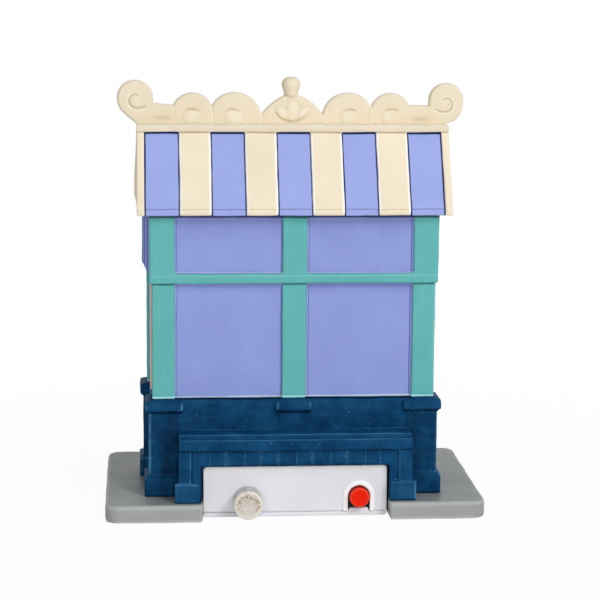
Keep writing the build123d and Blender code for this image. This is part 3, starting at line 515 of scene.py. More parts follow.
def platedSteel(name):
    coat = nickelCoat
    material = bpy.data.materials.new(name)
    tree = freshTree(material)
    place = addNode(tree, "ShaderNodeTexCoord").outputs["Object"]
    drawn = addNode(tree, "ShaderNodeMapping", {"Vector": place, "Scale": coat["drawn"]}).outputs[0]
    lines = addNode(tree, "ShaderNodeTexNoise", {
        "Vector": drawn, "Scale": 1 / (coat["line"] * mm), "Detail": 3.0,
    }).outputs[0]
    tone = addNode(tree, "ShaderNodeMix", {
        0: lines, 6: hexColour(coat["bright"]), 7: hexColour(coat["dull"]),
    }, data_type="RGBA").outputs[2]
    sheen = addNode(tree, "ShaderNodeMapRange", {"Value": lines, **span(coat["sheen"])}).outputs[0]
    shader = addNode(tree, "ShaderNodeBsdfPrincipled", {
        "Base Color": tone, "Roughness": sheen, "Metallic": 1.0,
    })
    addNode(tree, "ShaderNodeOutputMaterial", {"Surface": shader.outputs[0]})
    return material


nickelPlate = platedSteel("nickelPlate")
print("materials made")

easeShare = 0.5  # how far each easing pass pulls a point towards its neighbours


def castPiece(name, node, casting, material, shade=None, shape=None, bend=True):
    # a softened skin over the CAD node, given painted shade and highlight by its crowding
    build = bmesh.new()
    build.from_mesh(cadNodes[node].data)
    bmesh.ops.remove_doubles(build, verts=build.verts, dist=cadWeldGap)
    build.transform(Matrix.Scale(1 / mm, 4))
    mesh = bpy.data.meshes.new(name)
    build.to_mesh(mesh)
    build.free()
    piece = newPiece(name, mesh)
    skin = piece.modifiers.new("cast", "REMESH")
    skin.mode = "VOXEL"
    skin.voxel_size = casting["voxel"]
    ease = piece.modifiers.new("ease", "SMOOTH")
    ease.factor = easeShare
    ease.iterations = casting["ease"]
    plainMesh(piece)
    paintEdges(piece.data, shade, shape)
    print(name, len(piece.data.polygons), "faces")
    return finishPiece(piece, material, [node], bend=bend)


# Pavement plate: painted shade darkens its top, more on the left, and a painted highlight keeps its rim pale
plateCasting = {
    "voxel": 0.6, "ease": 2, "shift": 0.4, "tone": (0.55, 0.36), "toneSides": (-45, 45),
    "top": (-0.25, -0.05), "rim": 0.42, "rimLine": (-0.7, 0.45, 0.2),
}


def shiftedPlate(points):
    return shifted(points, 0, plateCasting["shift"])


def plateShade(points, paintedShadeAndLines, wearAndHighlight):
    x, _, z = points.T
    cast, over = plateCasting, z - z.max()
    left, right = cast["tone"]
    tone = left + (right - left) * smoothStep(x, *cast["toneSides"])
    rim = cast["rim"] * band(over, *cast["rimLine"])
    return strongest(paintedShadeAndLines, tone * smoothStep(over, *cast["top"])), strongest(wearAndHighlight, rim)


castPiece("plateCast", "ground_plate", plateCasting, greyPaint, plateShade, shiftedPlate)

# Painted shadow makes the gap round the module a dark slot, and the back of the bench's seat is kept free of
# painted shade
benchLow, benchHigh = boxMm("rear_bench")
plateTop = benchLow[2]
shellLow, shellHigh = boxMm("module_shell")
coverLow, coverHigh = boxMm("module_cover")
moduleGap = {
    "slot": (0.7, 1.0), "behind": 0.5, "rim": 1.4, "unshaded": 0.85, "seatBack": (0.8, 0.6), "seatEnd": 0.5,
    "seatFront": 3.0,
}


def tunnelShade(points, paintedShadeAndLines, wearAndHighlight):
    x, y, z = points.T
    gap, side, over = moduleGap, np.abs(x), z - shellHigh[2]
    beside = side - coverHigh[0]
    slot = fadeOut(over, *gap["slot"]) * fadeOut(beside, *gap["slot"]) * (y < shellHigh[1] + gap["behind"])
    rim = (over < gap["rim"]) * (beside < gap["rim"])
    seat = band(z, benchHigh[2], *gap["seatBack"]) * (side < benchHigh[0] + gap["seatEnd"])
    back = seat * (y > benchLow[1] + gap["seatFront"])
    return strongest(paintedShadeAndLines * (1 - gap["unshaded"] * back), slot), wearAndHighlight * (1 - rim)


# Plinth: painted shade on the piers and the wall between, painted shadow under the rolled caps and beside the
# bench, no pale edge under the caps or by the bench, a pale line down the left pier's outer edge
plinthCasting = {
    "voxel": 0.5, "ease": 3, "drop": 0.5, "dropFrom": (-1.2, -0.2), "unshadedTop": (-1.5, -0.8),
    "capFoot": plinthTop - 3.7, "blockTop": plateTop + 6.4,
    "pierInner": 36.3, "pierOuter": 46.2, "middleHalf": 5.6,
    "shaftTop": 0.6, "shaftFoot": 0.8, "capOut": 1.1, "capClear": 0.8, "pierEdge": 1.0,
    "pierTone": 0.24, "wallTone": 0.12, "beside": 0.32, "besideFade": 3.0,
    "shadow": 0.9, "shadowLine": (-0.25, 0.3, 0.25),
    "edge": 0.75, "edgeLine": (0.2, 0.3, 0.25), "edgeBack": 0.3,
}


def plinthShade(points, paintedShadeAndLines, wearAndHighlight):
    x, y, z = points.T
    cast, side = plinthCasting, np.abs(x)
    inner, outer, capFoot = cast["pierInner"], cast["pierOuter"], cast["capFoot"]
    paintedShadeAndLines, wearAndHighlight = tunnelShade(points, paintedShadeAndLines, wearAndHighlight)
    paintedShadeAndLines = paintedShadeAndLines * fadeOut(z - plinthTop, *cast["unshadedTop"])
    shaft = (z < capFoot + cast["shaftTop"]) * (z > cast["blockTop"] + cast["shaftFoot"])
    clear = z < capFoot - cast["capClear"]
    hidden = shaft * ((side < inner + cast["pierEdge"]) | ~clear)
    capped = (side > inner - cast["capOut"]) | (side < cast["middleHalf"])
    shadow = cast["shadow"] * capped * band(z - capFoot, *cast["shadowLine"])
    beside = cast["beside"] * fadeOut(side, inner + cast["besideFade"], outer - cast["besideFade"]) * shaft
    pier = (cast["pierTone"] + beside) * (side > inner) * (z < capFoot)
    wall = cast["wallTone"] * (side < inner)
    edge = cast["edge"] * band(x + outer, *cast["edgeLine"]) * (y < benchHigh[1] - cast["edgeBack"])
    return strongest(paintedShadeAndLines, shadow, pier, wall), strongest(wearAndHighlight * (1 - hidden), edge * shaft * clear)


def lowerPlinth(points):
    below = points[:, 2] - boxMm("plinth")[1][2]
    return shifted(points, 2, -plinthCasting["drop"] * smoothStep(below, *plinthCasting["dropFrom"]))


castPiece("plinthCast", "plinth", plinthCasting, navyPaint, plinthShade, lowerPlinth)

# Bench: painted highlight along the nose, the fascia and the legs, painted shadow under the fascia and beside
# the legs
benchCasting = {
    "voxel": 0.33, "ease": 3, "panel": 1.1, "nose": 1.4, "fascia": 2.9, "drop": 0.6, "dropLine": (0.4, 1.2),
    "setback": 0.7, "legInner": 33.0, "block": 6.3, "longer": 0.45, "longerFrom": (24, 29), "face": 0.2,
}
benchPaint = {
    "under": (-0.15, 0.2, 0.2), "underTone": 0.9, "top": 0.3, "lip": (0.7, 0.3), "noseTop": (0.1, 0.2),
    "noseFront": (0.2, 0.25), "noseTone": 0.55, "fascia": (0.08, 0.2), "fasciaFront": 0.5,
    "rear": (1.2, 1.2), "paintedShadeEnd": 0.3,
    "lineTone": 0.5, "legLine": (0.2, 0.1, 0.2), "legShade": (-0.3, 0.15, 0.2), "legTone": 0.8,
    "fleckWaves": (3.1, 1.7, 1.3), "fleckKeep": 0.35, "fleckSoft": 0.5,
}
panelY = benchLow[1] + benchCasting["panel"]
fasciaTop = benchHigh[2] - benchCasting["nose"]
fasciaLow = fasciaTop - benchCasting["fascia"] - benchCasting["drop"]


def benchForm(points):
    cast = benchCasting
    x, y, z = points.T
    edge = band(z, fasciaLow + cast["drop"], *cast["dropLine"]) * (y < panelY - cast["face"])
    longer = cast["longer"] * smoothStep(x, *cast["longerFrom"])
    return shifted(shifted(points, 2, -cast["drop"] * edge), 0, longer)


def benchShade(points, paintedShadeAndLines, wearAndHighlight):
    x, y, z = points.T
    cast, paint, leg = benchCasting, benchPaint, np.abs(x) - benchCasting["legInner"]
    paintedShadeAndLines, wearAndHighlight = tunnelShade(points, paintedShadeAndLines, wearAndHighlight)
    first, second, late = paint["fleckWaves"]
    patches = smoothStep(np.sin(x * first) * np.sin(x * second + late), 0.0, paint["fleckSoft"])
    flecks = paint["fleckKeep"] + (1 - paint["fleckKeep"]) * patches
    under = band(z - fasciaLow, *paint["under"])
    lip = band(z, fasciaLow, *paint["lip"]) * (y < panelY)
    nose = band(z, benchHigh[2], *paint["noseTop"]) * band(y, panelY + cast["setback"], *paint["noseFront"])
    fascia = band(z, fasciaTop, *paint["fascia"]) * (y < panelY - paint["fasciaFront"])
    rear = flecks * band(y, benchHigh[1], *paint["rear"]) * (z > benchHigh[2] - paint["top"])
    onLeg = (z < fasciaLow) * (z > plateTop + cast["block"]) * (y < panelY + cast["face"])
    legLine, legShade = (onLeg * band(leg, *paint[kind]) for kind in ("legLine", "legShade"))
    lines = strongest(paint["noseTone"] * nose, paint["lineTone"] * strongest(fascia, rear, legLine))
    dark = strongest(paint["underTone"] * under, paint["legTone"] * legShade)
    paintedShadeAndLines = strongest(paintedShadeAndLines * (z < fasciaTop + paint["paintedShadeEnd"]), dark)
    return paintedShadeAndLines, strongest(wearAndHighlight * (1 - under) * (1 - lip), lines)


castPiece("benchCast", "rear_bench", benchCasting, navyPaint, benchShade, benchForm)

# Walls: shaded under the eave and the rail, a pale strip where each panel meets its post
wallCasting = {
    "voxel": 0.55, "ease": 3, "panelEdges": ((-37.35, 0.5), (4.2, 0.5), (37.4, 0.1)), "edge": (0.2, 0.35),
    "under": 0.4, "eaveReach": 11, "railReach": 4,
}


def wallShade(points, paintedShadeAndLines, wearAndHighlight):
    cast = wallCasting
    x, _, z = points.T
    for middle, pale in cast["panelEdges"]:
        near = band(x, middle, *cast["edge"])
        paintedShadeAndLines, wearAndHighlight = paintedShadeAndLines * (1 - near), strongest(wearAndHighlight, pale * near)
    belowEave = smoothStep(z, canopyLow[2] - cast["eaveReach"], canopyLow[2])
    belowRail = smoothStep(z, railLow - cast["railReach"], railLow) * (z <= railTop)
    return strongest(paintedShadeAndLines, cast["under"] * strongest(belowEave, belowRail)), wearAndHighlight


castPiece("wallCast", "wall_shell", wallCasting, wallPaint, wallShade)

# Trim with no paint of its own beyond the common painted shade and the pale edges, partly wear and partly
# painted highlight
trimCasting = {"voxel": 0.4, "ease": 3}
frameCasting = {"voxel": 0.34, "ease": 2}
castPiece("lowerPostCast", "lower_posts", trimCasting, tealPaint)
castPiece("upperFrameCast", "upper_frame", trimCasting, tealPaint)
castPiece("frontFrameCast", "front_window_frames", frameCasting, pinkPaint)
castPiece("sideFrameCast", "side_window_frames", frameCasting, pinkPaint)

# Side hoods: the foot tapers down over the rail
hoodCasting = {"voxel": 0.36, "ease": 3, "foot": 1.0, "hang": 3.4}


def hangingHood(points):
    over = points[:, 2] - boxMm("side_hoods")[0][2]
    return shifted(points, 2, -hoodCasting["hang"] * fadeOut(over, 0, hoodCasting["foot"]))


castPiece("hoodCast", "side_hoods", hoodCasting, hoodPaint, shape=hangingHood)

canopyCasting = {"voxel": 0.47, "ease": 2}
castPiece("canopyCast", "canopy", canopyCasting, canopyPaint)

# Gable boards: they swell outwards in the lower part only
gableCasting = {"voxel": 0.36, "ease": 3, "thick": 2.4, "swell": (26.0, 5.0, 0.2), "keep": 0.8}
gableOuter = canopyHigh[0] + gableCasting["thick"]


def swollenGable(points):
    x, _, z = points.T
    start, full, end = gableCasting["swell"]
    over = z - canopyLow[2]
    share = fadeOut(over, full, start) * smoothStep(over, end, full)
    excess = np.clip(np.abs(x) - gableOuter, 0, None)
    return shifted(points, 0, -np.sign(x) * excess * (1 - gableCasting["keep"] * share))


castPiece("gableCast", "gable_boards", gableCasting, creamPaint, shape=swollenGable)

# Cornice: painted highlight along the ridge, a slightly darker band below it, ends cut flush with the gables
corniceCasting = {
    "voxel": 0.36, "ease": 2, "ridge": 0.8, "ridgeLine": (-0.5, -0.2), "corner": 0.1, "band": 0.12,
    "edge": 0.3, "drop": 0.3, "dropTo": 0.8,
}


def corniceShade(points, paintedShadeAndLines, wearAndHighlight):
    cast = corniceCasting
    over = points[:, 2] - boxMm("cornice")[1][2]
    ridge = cast["ridge"] * smoothStep(over, *cast["ridgeLine"])
    below = cast["band"] * (over < cast["ridgeLine"][0])
    return strongest(paintedShadeAndLines * cast["corner"], below), strongest(wearAndHighlight * cast["edge"], ridge)


def flushCornice(points):
    lower = corniceCasting["drop"] * fadeOut(points[:, 2] - canopyHigh[2], 0, corniceCasting["dropTo"])
    moved = shifted(points, 2, -lower)
    moved[:, 0] = np.clip(points[:, 0], -gableOuter, gableOuter)
    return moved


castPiece("corniceCast", "cornice", corniceCasting, crestPaint, corniceShade, flushCornice)
print("castings made")


def runTree(piece, name, build, values):
    tree = bpy.data.node_groups.new(name, "GeometryNodeTree")
    tree.interface.new_socket("Geometry", in_out="INPUT", socket_type="NodeSocketGeometry")
    sockets = {}
    for label, (kind, value) in values.items():
        sockets[label] = tree.interface.new_socket(label, in_out="INPUT", socket_type=kind)
    tree.interface.new_socket("Geometry", in_out="OUTPUT", socket_type="NodeSocketGeometry")
    build(tree, addNode(tree, "NodeGroupInput").outputs)
    modifier = piece.modifiers.new(name, "NODES")
    modifier.node_group = tree
    for label, (kind, value) in values.items():
        modifier[sockets[label].identifier] = value
    return plainMesh(piece)


def rowTree(tree, given):
    # copies of the given shape in a row, each a little out of line
    row = addNode(tree, "GeometryNodeMeshLine", {"Count": given["Count"], "Offset": given["Step"]})
    low = addNode(tree, "ShaderNodeVectorMath", {
        0: given["Stray"], "Scale": -1.0,
    }, operation="SCALE").outputs[0]
    stray = addNode(tree, "FunctionNodeRandomValue", {
        0: low, 1: given["Stray"], "Seed": given["Seed"],
    }, data_type="FLOAT_VECTOR").outputs[0]
    loose = addNode(tree, "GeometryNodeSetPosition", {"Geometry": row.outputs[0], "Offset": stray})
    copies = addNode(tree, "GeometryNodeInstanceOnPoints", {
        "Points": loose.outputs[0], "Instance": given["Geometry"],
    })
    whole = addNode(tree, "GeometryNodeRealizeInstances", {"Geometry": copies.outputs[0]})
    painted = addNode(tree, "GeometryNodeSetMaterial", {
        "Geometry": whole.outputs[0], "Material": given["Finish"],
    })
    addNode(tree, "NodeGroupOutput", {"Geometry": painted.outputs[0]})


def inRow(piece, count, step, stray, seed, finish):
    return runTree(piece, piece.name + "Row", rowTree, {
        "Count": ("NodeSocketInt", count), "Step": ("NodeSocketVector", step),
        "Stray": ("NodeSocketVector", stray), "Seed": ("NodeSocketInt", seed),
        "Finish": ("NodeSocketMaterial", finish),
    })


def ringTree(tree, given):
    # copies of the given shape turned about the Y axis
    ring = addNode(tree, "GeometryNodeMeshLine", {"Count": given["Count"], "Offset": (0.0, 0.0, 0.0)})
    index = addNode(tree, "GeometryNodeInputIndex").outputs[0]
    share = addNode(tree, "ShaderNodeMath", {0: index, 1: given["Count"]}, operation="DIVIDE").outputs[0]
    angle = addNode(tree, "ShaderNodeMath", {0: share, 1: tau}, operation="MULTIPLY").outputs[0]
    turned = addNode(tree, "ShaderNodeCombineXYZ", {"Y": angle}).outputs[0]
    copies = addNode(tree, "GeometryNodeInstanceOnPoints", {
        "Points": ring.outputs[0], "Instance": given["Geometry"], "Rotation": turned,
    })
    whole = addNode(tree, "GeometryNodeRealizeInstances", {"Geometry": copies.outputs[0]})
    placed = addNode(tree, "GeometryNodeTransform", {
        "Geometry": whole.outputs[0], "Translation": given["Centre"],
    })
    painted = addNode(tree, "GeometryNodeSetMaterial", {
        "Geometry": placed.outputs[0], "Material": given["Finish"],
    })
    addNode(tree, "NodeGroupOutput", {"Geometry": painted.outputs[0]})


def inRing(piece, count, centre, finish):
    return runTree(piece, piece.name + "Ring", ringTree, {
        "Count": ("NodeSocketInt", count), "Centre": ("NodeSocketVector", centre),
        "Finish": ("NodeSocketMaterial", finish),
    })


blockEdges = {"sharp": 0.5, "segments": 3, "profile": 0.5}  # least angle that is rounded, in radians


def softBlock(name, low, high, edge, cuts=0):
    build = bmesh.new()
    bmesh.ops.create_cube(build, size=1)
    size, middle = Vector(high) - Vector(low), (Vector(high) + Vector(low)) / 2
    build.transform(Matrix.Translation(middle) @ Matrix.Diagonal((*size, 1)))
    if cuts:
        bmesh.ops.subdivide_edges(build, edges=build.edges[:], cuts=cuts, use_grid_fill=True)
    sharp = [e for e in build.edges if len(e.link_faces) == 2 and e.calc_face_angle(0) > blockEdges["sharp"]]
    bmesh.ops.bevel(
        build, geom=sharp, offset=edge, segments=blockEdges["segments"], profile=blockEdges["profile"],
        affect="EDGES", clamp_overlap=True,
    )
    mesh = bpy.data.meshes.new(name)
    build.to_mesh(mesh)
    build.free()
    return mesh


# Ten planks between the bench legs, over the module opening
plankShape = {
    "count": 10, "pitch": 5.467, "gap": 0.16, "proud": 0.1, "sunk": 0.3, "foot": 0.5, "tucked": 0.3,
    "edge": 0.12, "cuts": 6, "stray": (0.03, 0.03, 0.0), "seed": 4,
    "jointTone": 0.3, "jointShare": 1.6, "underTone": 0.8,
}
firstPlank = -plankShape["pitch"] * plankShape["count"] / 2
halfGap = plankShape["gap"] / 2
plankLow = (firstPlank + halfGap, panelY - plankShape["proud"], shellHigh[2] + plankShape["foot"])
plankEnd = firstPlank + plankShape["pitch"] - halfGap
plankHigh = (plankEnd, panelY + plankShape["sunk"], fasciaLow + plankShape["tucked"])


def plankShade(points, paintedShadeAndLines, wearAndHighlight):
    # painted shadow in the module slot and under the fascia, pale lines at the plank joints
    shape = plankShape
    local = (points[:, 0] - firstPlank) % shape["pitch"]
    joint = (local < shape["gap"] * shape["jointShare"]) | (local > shape["pitch"] - shape["gap"])
    slot = tunnelShade(points, np.zeros_like(paintedShadeAndLines), wearAndHighlight)[0]
    under = band(points[:, 2] - fasciaLow, *benchPaint["under"])
    return strongest(slot, shape["underTone"] * under), shape["jointTone"] * joint * (1 - under)


plankMesh = softBlock("benchPlanks", plankLow, plankHigh, plankShape["edge"], plankShape["cuts"])
planks = newPiece("benchPlanks", plankMesh)
plankStep = (plankShape["pitch"], 0, 0)
inRow(planks, plankShape["count"], plankStep, plankShape["stray"], plankShape["seed"], navyPaint)
paintEdges(planks.data, plankShade)
finishPiece(planks, navyPaint, [])
print("planks made")

# Lavender stripes lie a little below the cream ones, from the hem to the cornice
houseY = (canopyLow[1] + canopyHigh[1]) / 2
eaveHalf = (canopyHigh[1] - canopyLow[1]) / 2


def stripeLine(depth):
    # hem foot, bend and top of the canopy face, moved in by depth
    hemTop = canopyLow[2] + stripeShape["hem"]
    rise, run = canopyHigh[2] - hemTop, eaveHalf - stripeShape["topHalf"]
    length = hypot(rise, run)
    bend = hemTop + depth * (rise / length - 1) / (run / length)
    top = (stripeShape["topHalf"] - depth * rise / length, canopyHigh[2] - depth * run / length)
    return [(eaveHalf - depth, canopyLow[2]), (eaveHalf - depth, bend), top]


def denseLine(corners, step):
    line = []
    for (a, b), (c, d) in zip(corners, corners[1:]):
        count = max(1, ceil(hypot(c - a, d - b) / step))
        line += [(a + (c - a) * k / count, b + (d - b) * k / count) for k in range(count)]
    return line + [corners[-1]]


def stripeMesh(name, side):
    outer = denseLine(stripeLine(stripeShape["sunk"]), stripeShape["step"])
    inner = stripeLine(stripeShape["sunk"] + stripeShape["thick"])[::-1]
    ring = outer + inner
    columns = ceil(stripeWidth / stripeShape["step"])
    points, faces = [], []
    for column in range(columns + 1):
        x = canopyLow[0] + stripeWidth * column / columns
        points += [(x, houseY + side * out, z) for out, z in ring]
    size = len(ring)
    for column in range(columns):
        a, b = column * size, (column + 1) * size
        faces += [(a + k, a + (k + 1) % size, b + (k + 1) % size, b + k) for k in range(size)]
    faces += [tuple(range(size)), tuple(range(columns * size, columns * size + size))]
    return meshFrom(name, points, faces)


for name, node, side in (("rearStripes", "rear_stripes", -1), ("frontStripes", "front_stripes", 1)):
    stripes = newPiece(name, stripeMesh(name, side))
    inRow(stripes, stripeShape["count"], (stripePitch, 0, 0), (0.0, 0.0, 0.0), 1, stripePaint)
    paintEdges(stripes.data)
    finishPiece(stripes, stripePaint, [node])
print("stripes made")

# Crest: corner volutes, two curled lumps each side, a shell hill in the middle; sizes from its base upwards
crestShape = {
    "baseHalf": 49.4, "scroll": (49.6, 7.8), "scrollRadius": 5.7, "scrollTurn": 42, "flatZ": 6.2,
    "outerDip": (37.8, 5.8), "firstLump": (31.5, 9.7), "middleDip": (25.4, 5.4), "secondLump": (18.6, 9.8),
    "shellDip": (9.7, 3.0), "hillShoulder": (7.0, 6.0), "hillTop": (2.3, 8.8), "sink": 0.6, "half": 1.75,
    "edge": 0.7, "step": 0.3, "rowShare": 0.87, "innerShare": 0.55, "weld": 1e-5,
    "carved": (0.2, 0.8), "edgeLip": 0.5, "edgeLine": (0.3, 0.7), "nudgeFoot": (-0.6, 1.2), "nudges": (
        (-49.6, 7.8, 8, -0.5, 0.3), (49.6, 7.8, 8, 0, -0.8), (-18.6, 6, 5, -0.9, 0),
        (52.4, 2.0, 3.6, 1.4, 0), (-53, 3.5, 3, -0.5, 0),
    ),
}


def arcThrough(start, middle, end, step):
    (ax, az), (bx, bz), (cx, cz) = start, middle, end
    scale = 2 * (ax * (bz - cz) + bx * (cz - az) + cx * (az - bz))
    a, b, c = ax * ax + az * az, bx * bx + bz * bz, cx * cx + cz * cz
    x = (a * (bz - cz) + b * (cz - az) + c * (az - bz)) / scale
    z = (a * (cx - bx) + b * (ax - cx) + c * (bx - ax)) / scale
    first = atan2(az - z, ax - x)
    last = first + (atan2(cz - z, cx - x) - first) % tau
    if (atan2(bz - z, bx - x) - first) % tau > last - first:
        last -= tau
    radius = hypot(ax - x, az - z)
    count = max(2, ceil(abs(last - first) * radius / step))
    angles = [first + (last - first) * k / count for k in range(count + 1)]
    return [(x + radius * cos(angle), z + radius * sin(angle)) for angle in angles]


def crestOutline():
    shape, step = crestShape, crestShape["step"]
    (sx, sz), radius, turn = shape["scroll"], shape["scrollRadius"], radians(shape["scrollTurn"])
    joint = (sx + radius * cos(turn), sz - radius * sin(turn))
    line = denseLine([(0, -shape["sink"]), (shape["baseHalf"], -shape["sink"]), joint], step)
    line += arcThrough(joint, (sx, sz + radius), (sx - radius, sz), step)[1:]
    line += denseLine([(sx - radius, sz), (sx - radius, shape["flatZ"]), shape["outerDip"]], step)[1:]
    for start, middle, end in (
        ("outerDip", "firstLump", "middleDip"), ("middleDip", "secondLump", "shellDip"),
        ("shellDip", "hillShoulder", "hillTop"),
    ):
        line += arcThrough(shape[start], shape[middle], shape[end], step)[1:]
    line += denseLine([shape["hillTop"], (0, shape["hillTop"][1])], step)[1:]
    return line + [(-x, z) for x, z in line[-2:0:-1]]


# Carving gives the height over the flat face, and how strong the painted shade in its grooves and the painted
# highlight on its lips are
spiralCarving = {
    "first": 205, "last": 500, "wide": 3.9, "tight": 1.1, "shift": (0.35, 0.45), "turns": 3, "beyond": 0.3,
    "start": (0.0, 0.08), "end": (0.93, 1.0), "line": 0.3, "groove": 0.9, "lip": 0.7, "lipOut": 0.55,
    "eye": 1.0, "eyeLip": 0.45, "pit": (1.0, -0.6), "pitSize": 0.4, "pitGroove": 0.45,
}
curlCarving = {
    "curls": ((31.8, 2.1, 3.2, 2.2), (18.4, 1.9, 2.9, 2.3)), "height": 0.3, "rim": 1.08, "line": 0.12,
    "faint": 0.06, "rise": (35, 75), "fall": (105, 150), "lip": 0.4, "lipSize": 0.8,
}
creaseCarving = {
    "dips": (("outerDip", 0.3), ("middleDip", 1.0), ("shellDip", 1.0)), "end": (-1.2, -0.2), "line": 0.3,
    "groove": 0.3, "grooveIn": 0.5, "lip": 0.6,
}
shellCarving = {
    "hollow": (41.2, 1.5), "hollowSize": (3.4, 0.8), "hollowGroove": 0.5,
    "smile": (6.7, 6.1), "smileLine": 0.3, "smileEnd": (4.6, 5.6),
    "petals": ((-3.3, 3.3, -48, 1.5, 2.6), (3.3, 3.3, 48, 1.5, 2.6), (0, 3.9, 0, 2.0, 3.5)),
    "height": 0.36, "unshaded": (0.7, 1.0), "rim": 1.08, "line": 0.16, "groove": 0.22,
    "lipFade": (0.8, 1.1), "lip": 0.45, "lipSize": 0.7,
}
grooveDepth = 0.35


def dome(away):
    return np.sqrt(np.clip(1 - away ** 2, 0, 1))


def crestSpirals(side, z):
    cut, radius = spiralCarving, crestShape["scrollRadius"]
    (scrollX, scrollZ), (shiftX, shiftZ) = crestShape["scroll"], cut["shift"]
    along, up = side - scrollX + shiftX, z - scrollZ + shiftZ
    away, angle = np.hypot(along, up), np.arctan2(up, along)
    pit = np.hypot(along - cut["pit"][0], up - cut["pit"][1])
    groove, lip = cut["pitGroove"] * bell(pit, cut["pitSize"]), cut["eyeLip"] * bell(away, cut["eye"])
    for turns in range(cut["turns"]):
        share = (angle % tau + turns * tau - radians(cut["first"])) / radians(cut["last"] - cut["first"])
        off = away - cut["wide"] * (cut["tight"] / cut["wide"]) ** share
        within = smoothStep(share, *cut["start"]) * fadeOut(share, *cut["end"])
        within = within * (away < radius + cut["beyond"])
        groove = strongest(groove, cut["groove"] * bell(off, cut["line"]) * within)
        lip = strongest(lip, cut["lip"] * bell(off - cut["lipOut"], cut["line"]) * within)
    return groove, lip


def crestCurls(side, z):
    cut = curlCarving
    height, groove, lip = (np.zeros_like(side) for _ in range(3))
    for curlX, curlZ, wide, tall in cut["curls"]:
        across, up = (side - curlX) / wide, (z - curlZ) / tall
        away, tilt = np.hypot(across, up), np.degrees(np.arctan2(up, across))
        height += cut["height"] * dome(away)
        over = smoothStep(tilt, *cut["rise"]) * fadeOut(tilt, *cut["fall"])
        over = cut["faint"] + (1 - cut["faint"]) * over
        groove = strongest(groove, bell(away - cut["rim"], cut["line"]) * over)
        lip = strongest(lip, cut["lip"] * bell(away, cut["lipSize"]))
    return height, groove, lip


def crestCreases(side, z):
    cut = creaseCarving
    groove, lip = np.zeros_like(side), np.zeros_like(side)
    for dip, depth in cut["dips"]:
        creaseX, creaseZ = crestShape[dip]
        below = depth * fadeOut(z - creaseZ, *cut["end"])
        inward = side - creaseX + cut["grooveIn"]
        groove = strongest(groove, cut["groove"] * below * bell(inward, cut["line"]))
        lip = strongest(lip, cut["lip"] * below * bell(side - creaseX, cut["line"]))
    return groove, lip


def crestRelief(x, z):
    cut, side = shellCarving, np.abs(x)
    spiralGroove, spiralLip = crestSpirals(side, z)
    height, curlGroove, curlLip = crestCurls(side, z)
    creaseGroove, creaseLip = crestCreases(side, z)
    (hollowX, hollowZ), (wide, tall) = cut["hollow"], cut["hollowSize"]
    dish = cut["hollowGroove"] * bell(np.hypot((side - hollowX) / wide, (z - hollowZ) / tall), 1.0)
    smileZ, smileRadius = cut["smile"]
    smile = bell(np.hypot(x, z - smileZ) - smileRadius, cut["smileLine"])
    smile = smile * fadeOut(side, *cut["smileEnd"]) * (z < smileZ)
    groove = strongest(spiralGroove, curlGroove, creaseGroove, dish, smile)
    lip = strongest(spiralLip, curlLip, creaseLip)
    for petalX, petalZ, lean, wide, tall in cut["petals"]:
        turn = radians(lean)
        across = (x - petalX) * cos(turn) - (z - petalZ) * sin(turn)
        up = (x - petalX) * sin(turn) + (z - petalZ) * cos(turn)
        away = np.hypot(across / wide, up / tall)
        height = strongest(height, cut["height"] * dome(away))
        rim = cut["groove"] * bell(away - cut["rim"], cut["line"])
        groove = strongest(groove * smoothStep(away, *cut["unshaded"]), rim)
        lip = strongest(lip * smoothStep(away, *cut["lipFade"]), cut["lip"] * bell(away, cut["lipSize"]))
    return height - grooveDepth * groove, groove, lip


def edgeDistance(points, outline):
    # distance inwards from the outline, below zero outside it
    x, z = points.T
    best = np.full(len(points), np.inf)
    crossings = np.zeros(len(points), int)
    for (ax, az), (bx, bz) in zip(outline, np.roll(outline, -1, axis=0)):
        run, rise = bx - ax, bz - az
        share = np.clip(((x - ax) * run + (z - az) * rise) / (run * run + rise * rise), 0, 1)
        best = np.minimum(best, np.hypot(x - ax - share * run, z - az - share * rise))
        if rise:
            crossings += ((z > az) != (z > bz)) & (x < ax + (z - az) / rise * run)
    return np.where(crossings % 2, best, -best)


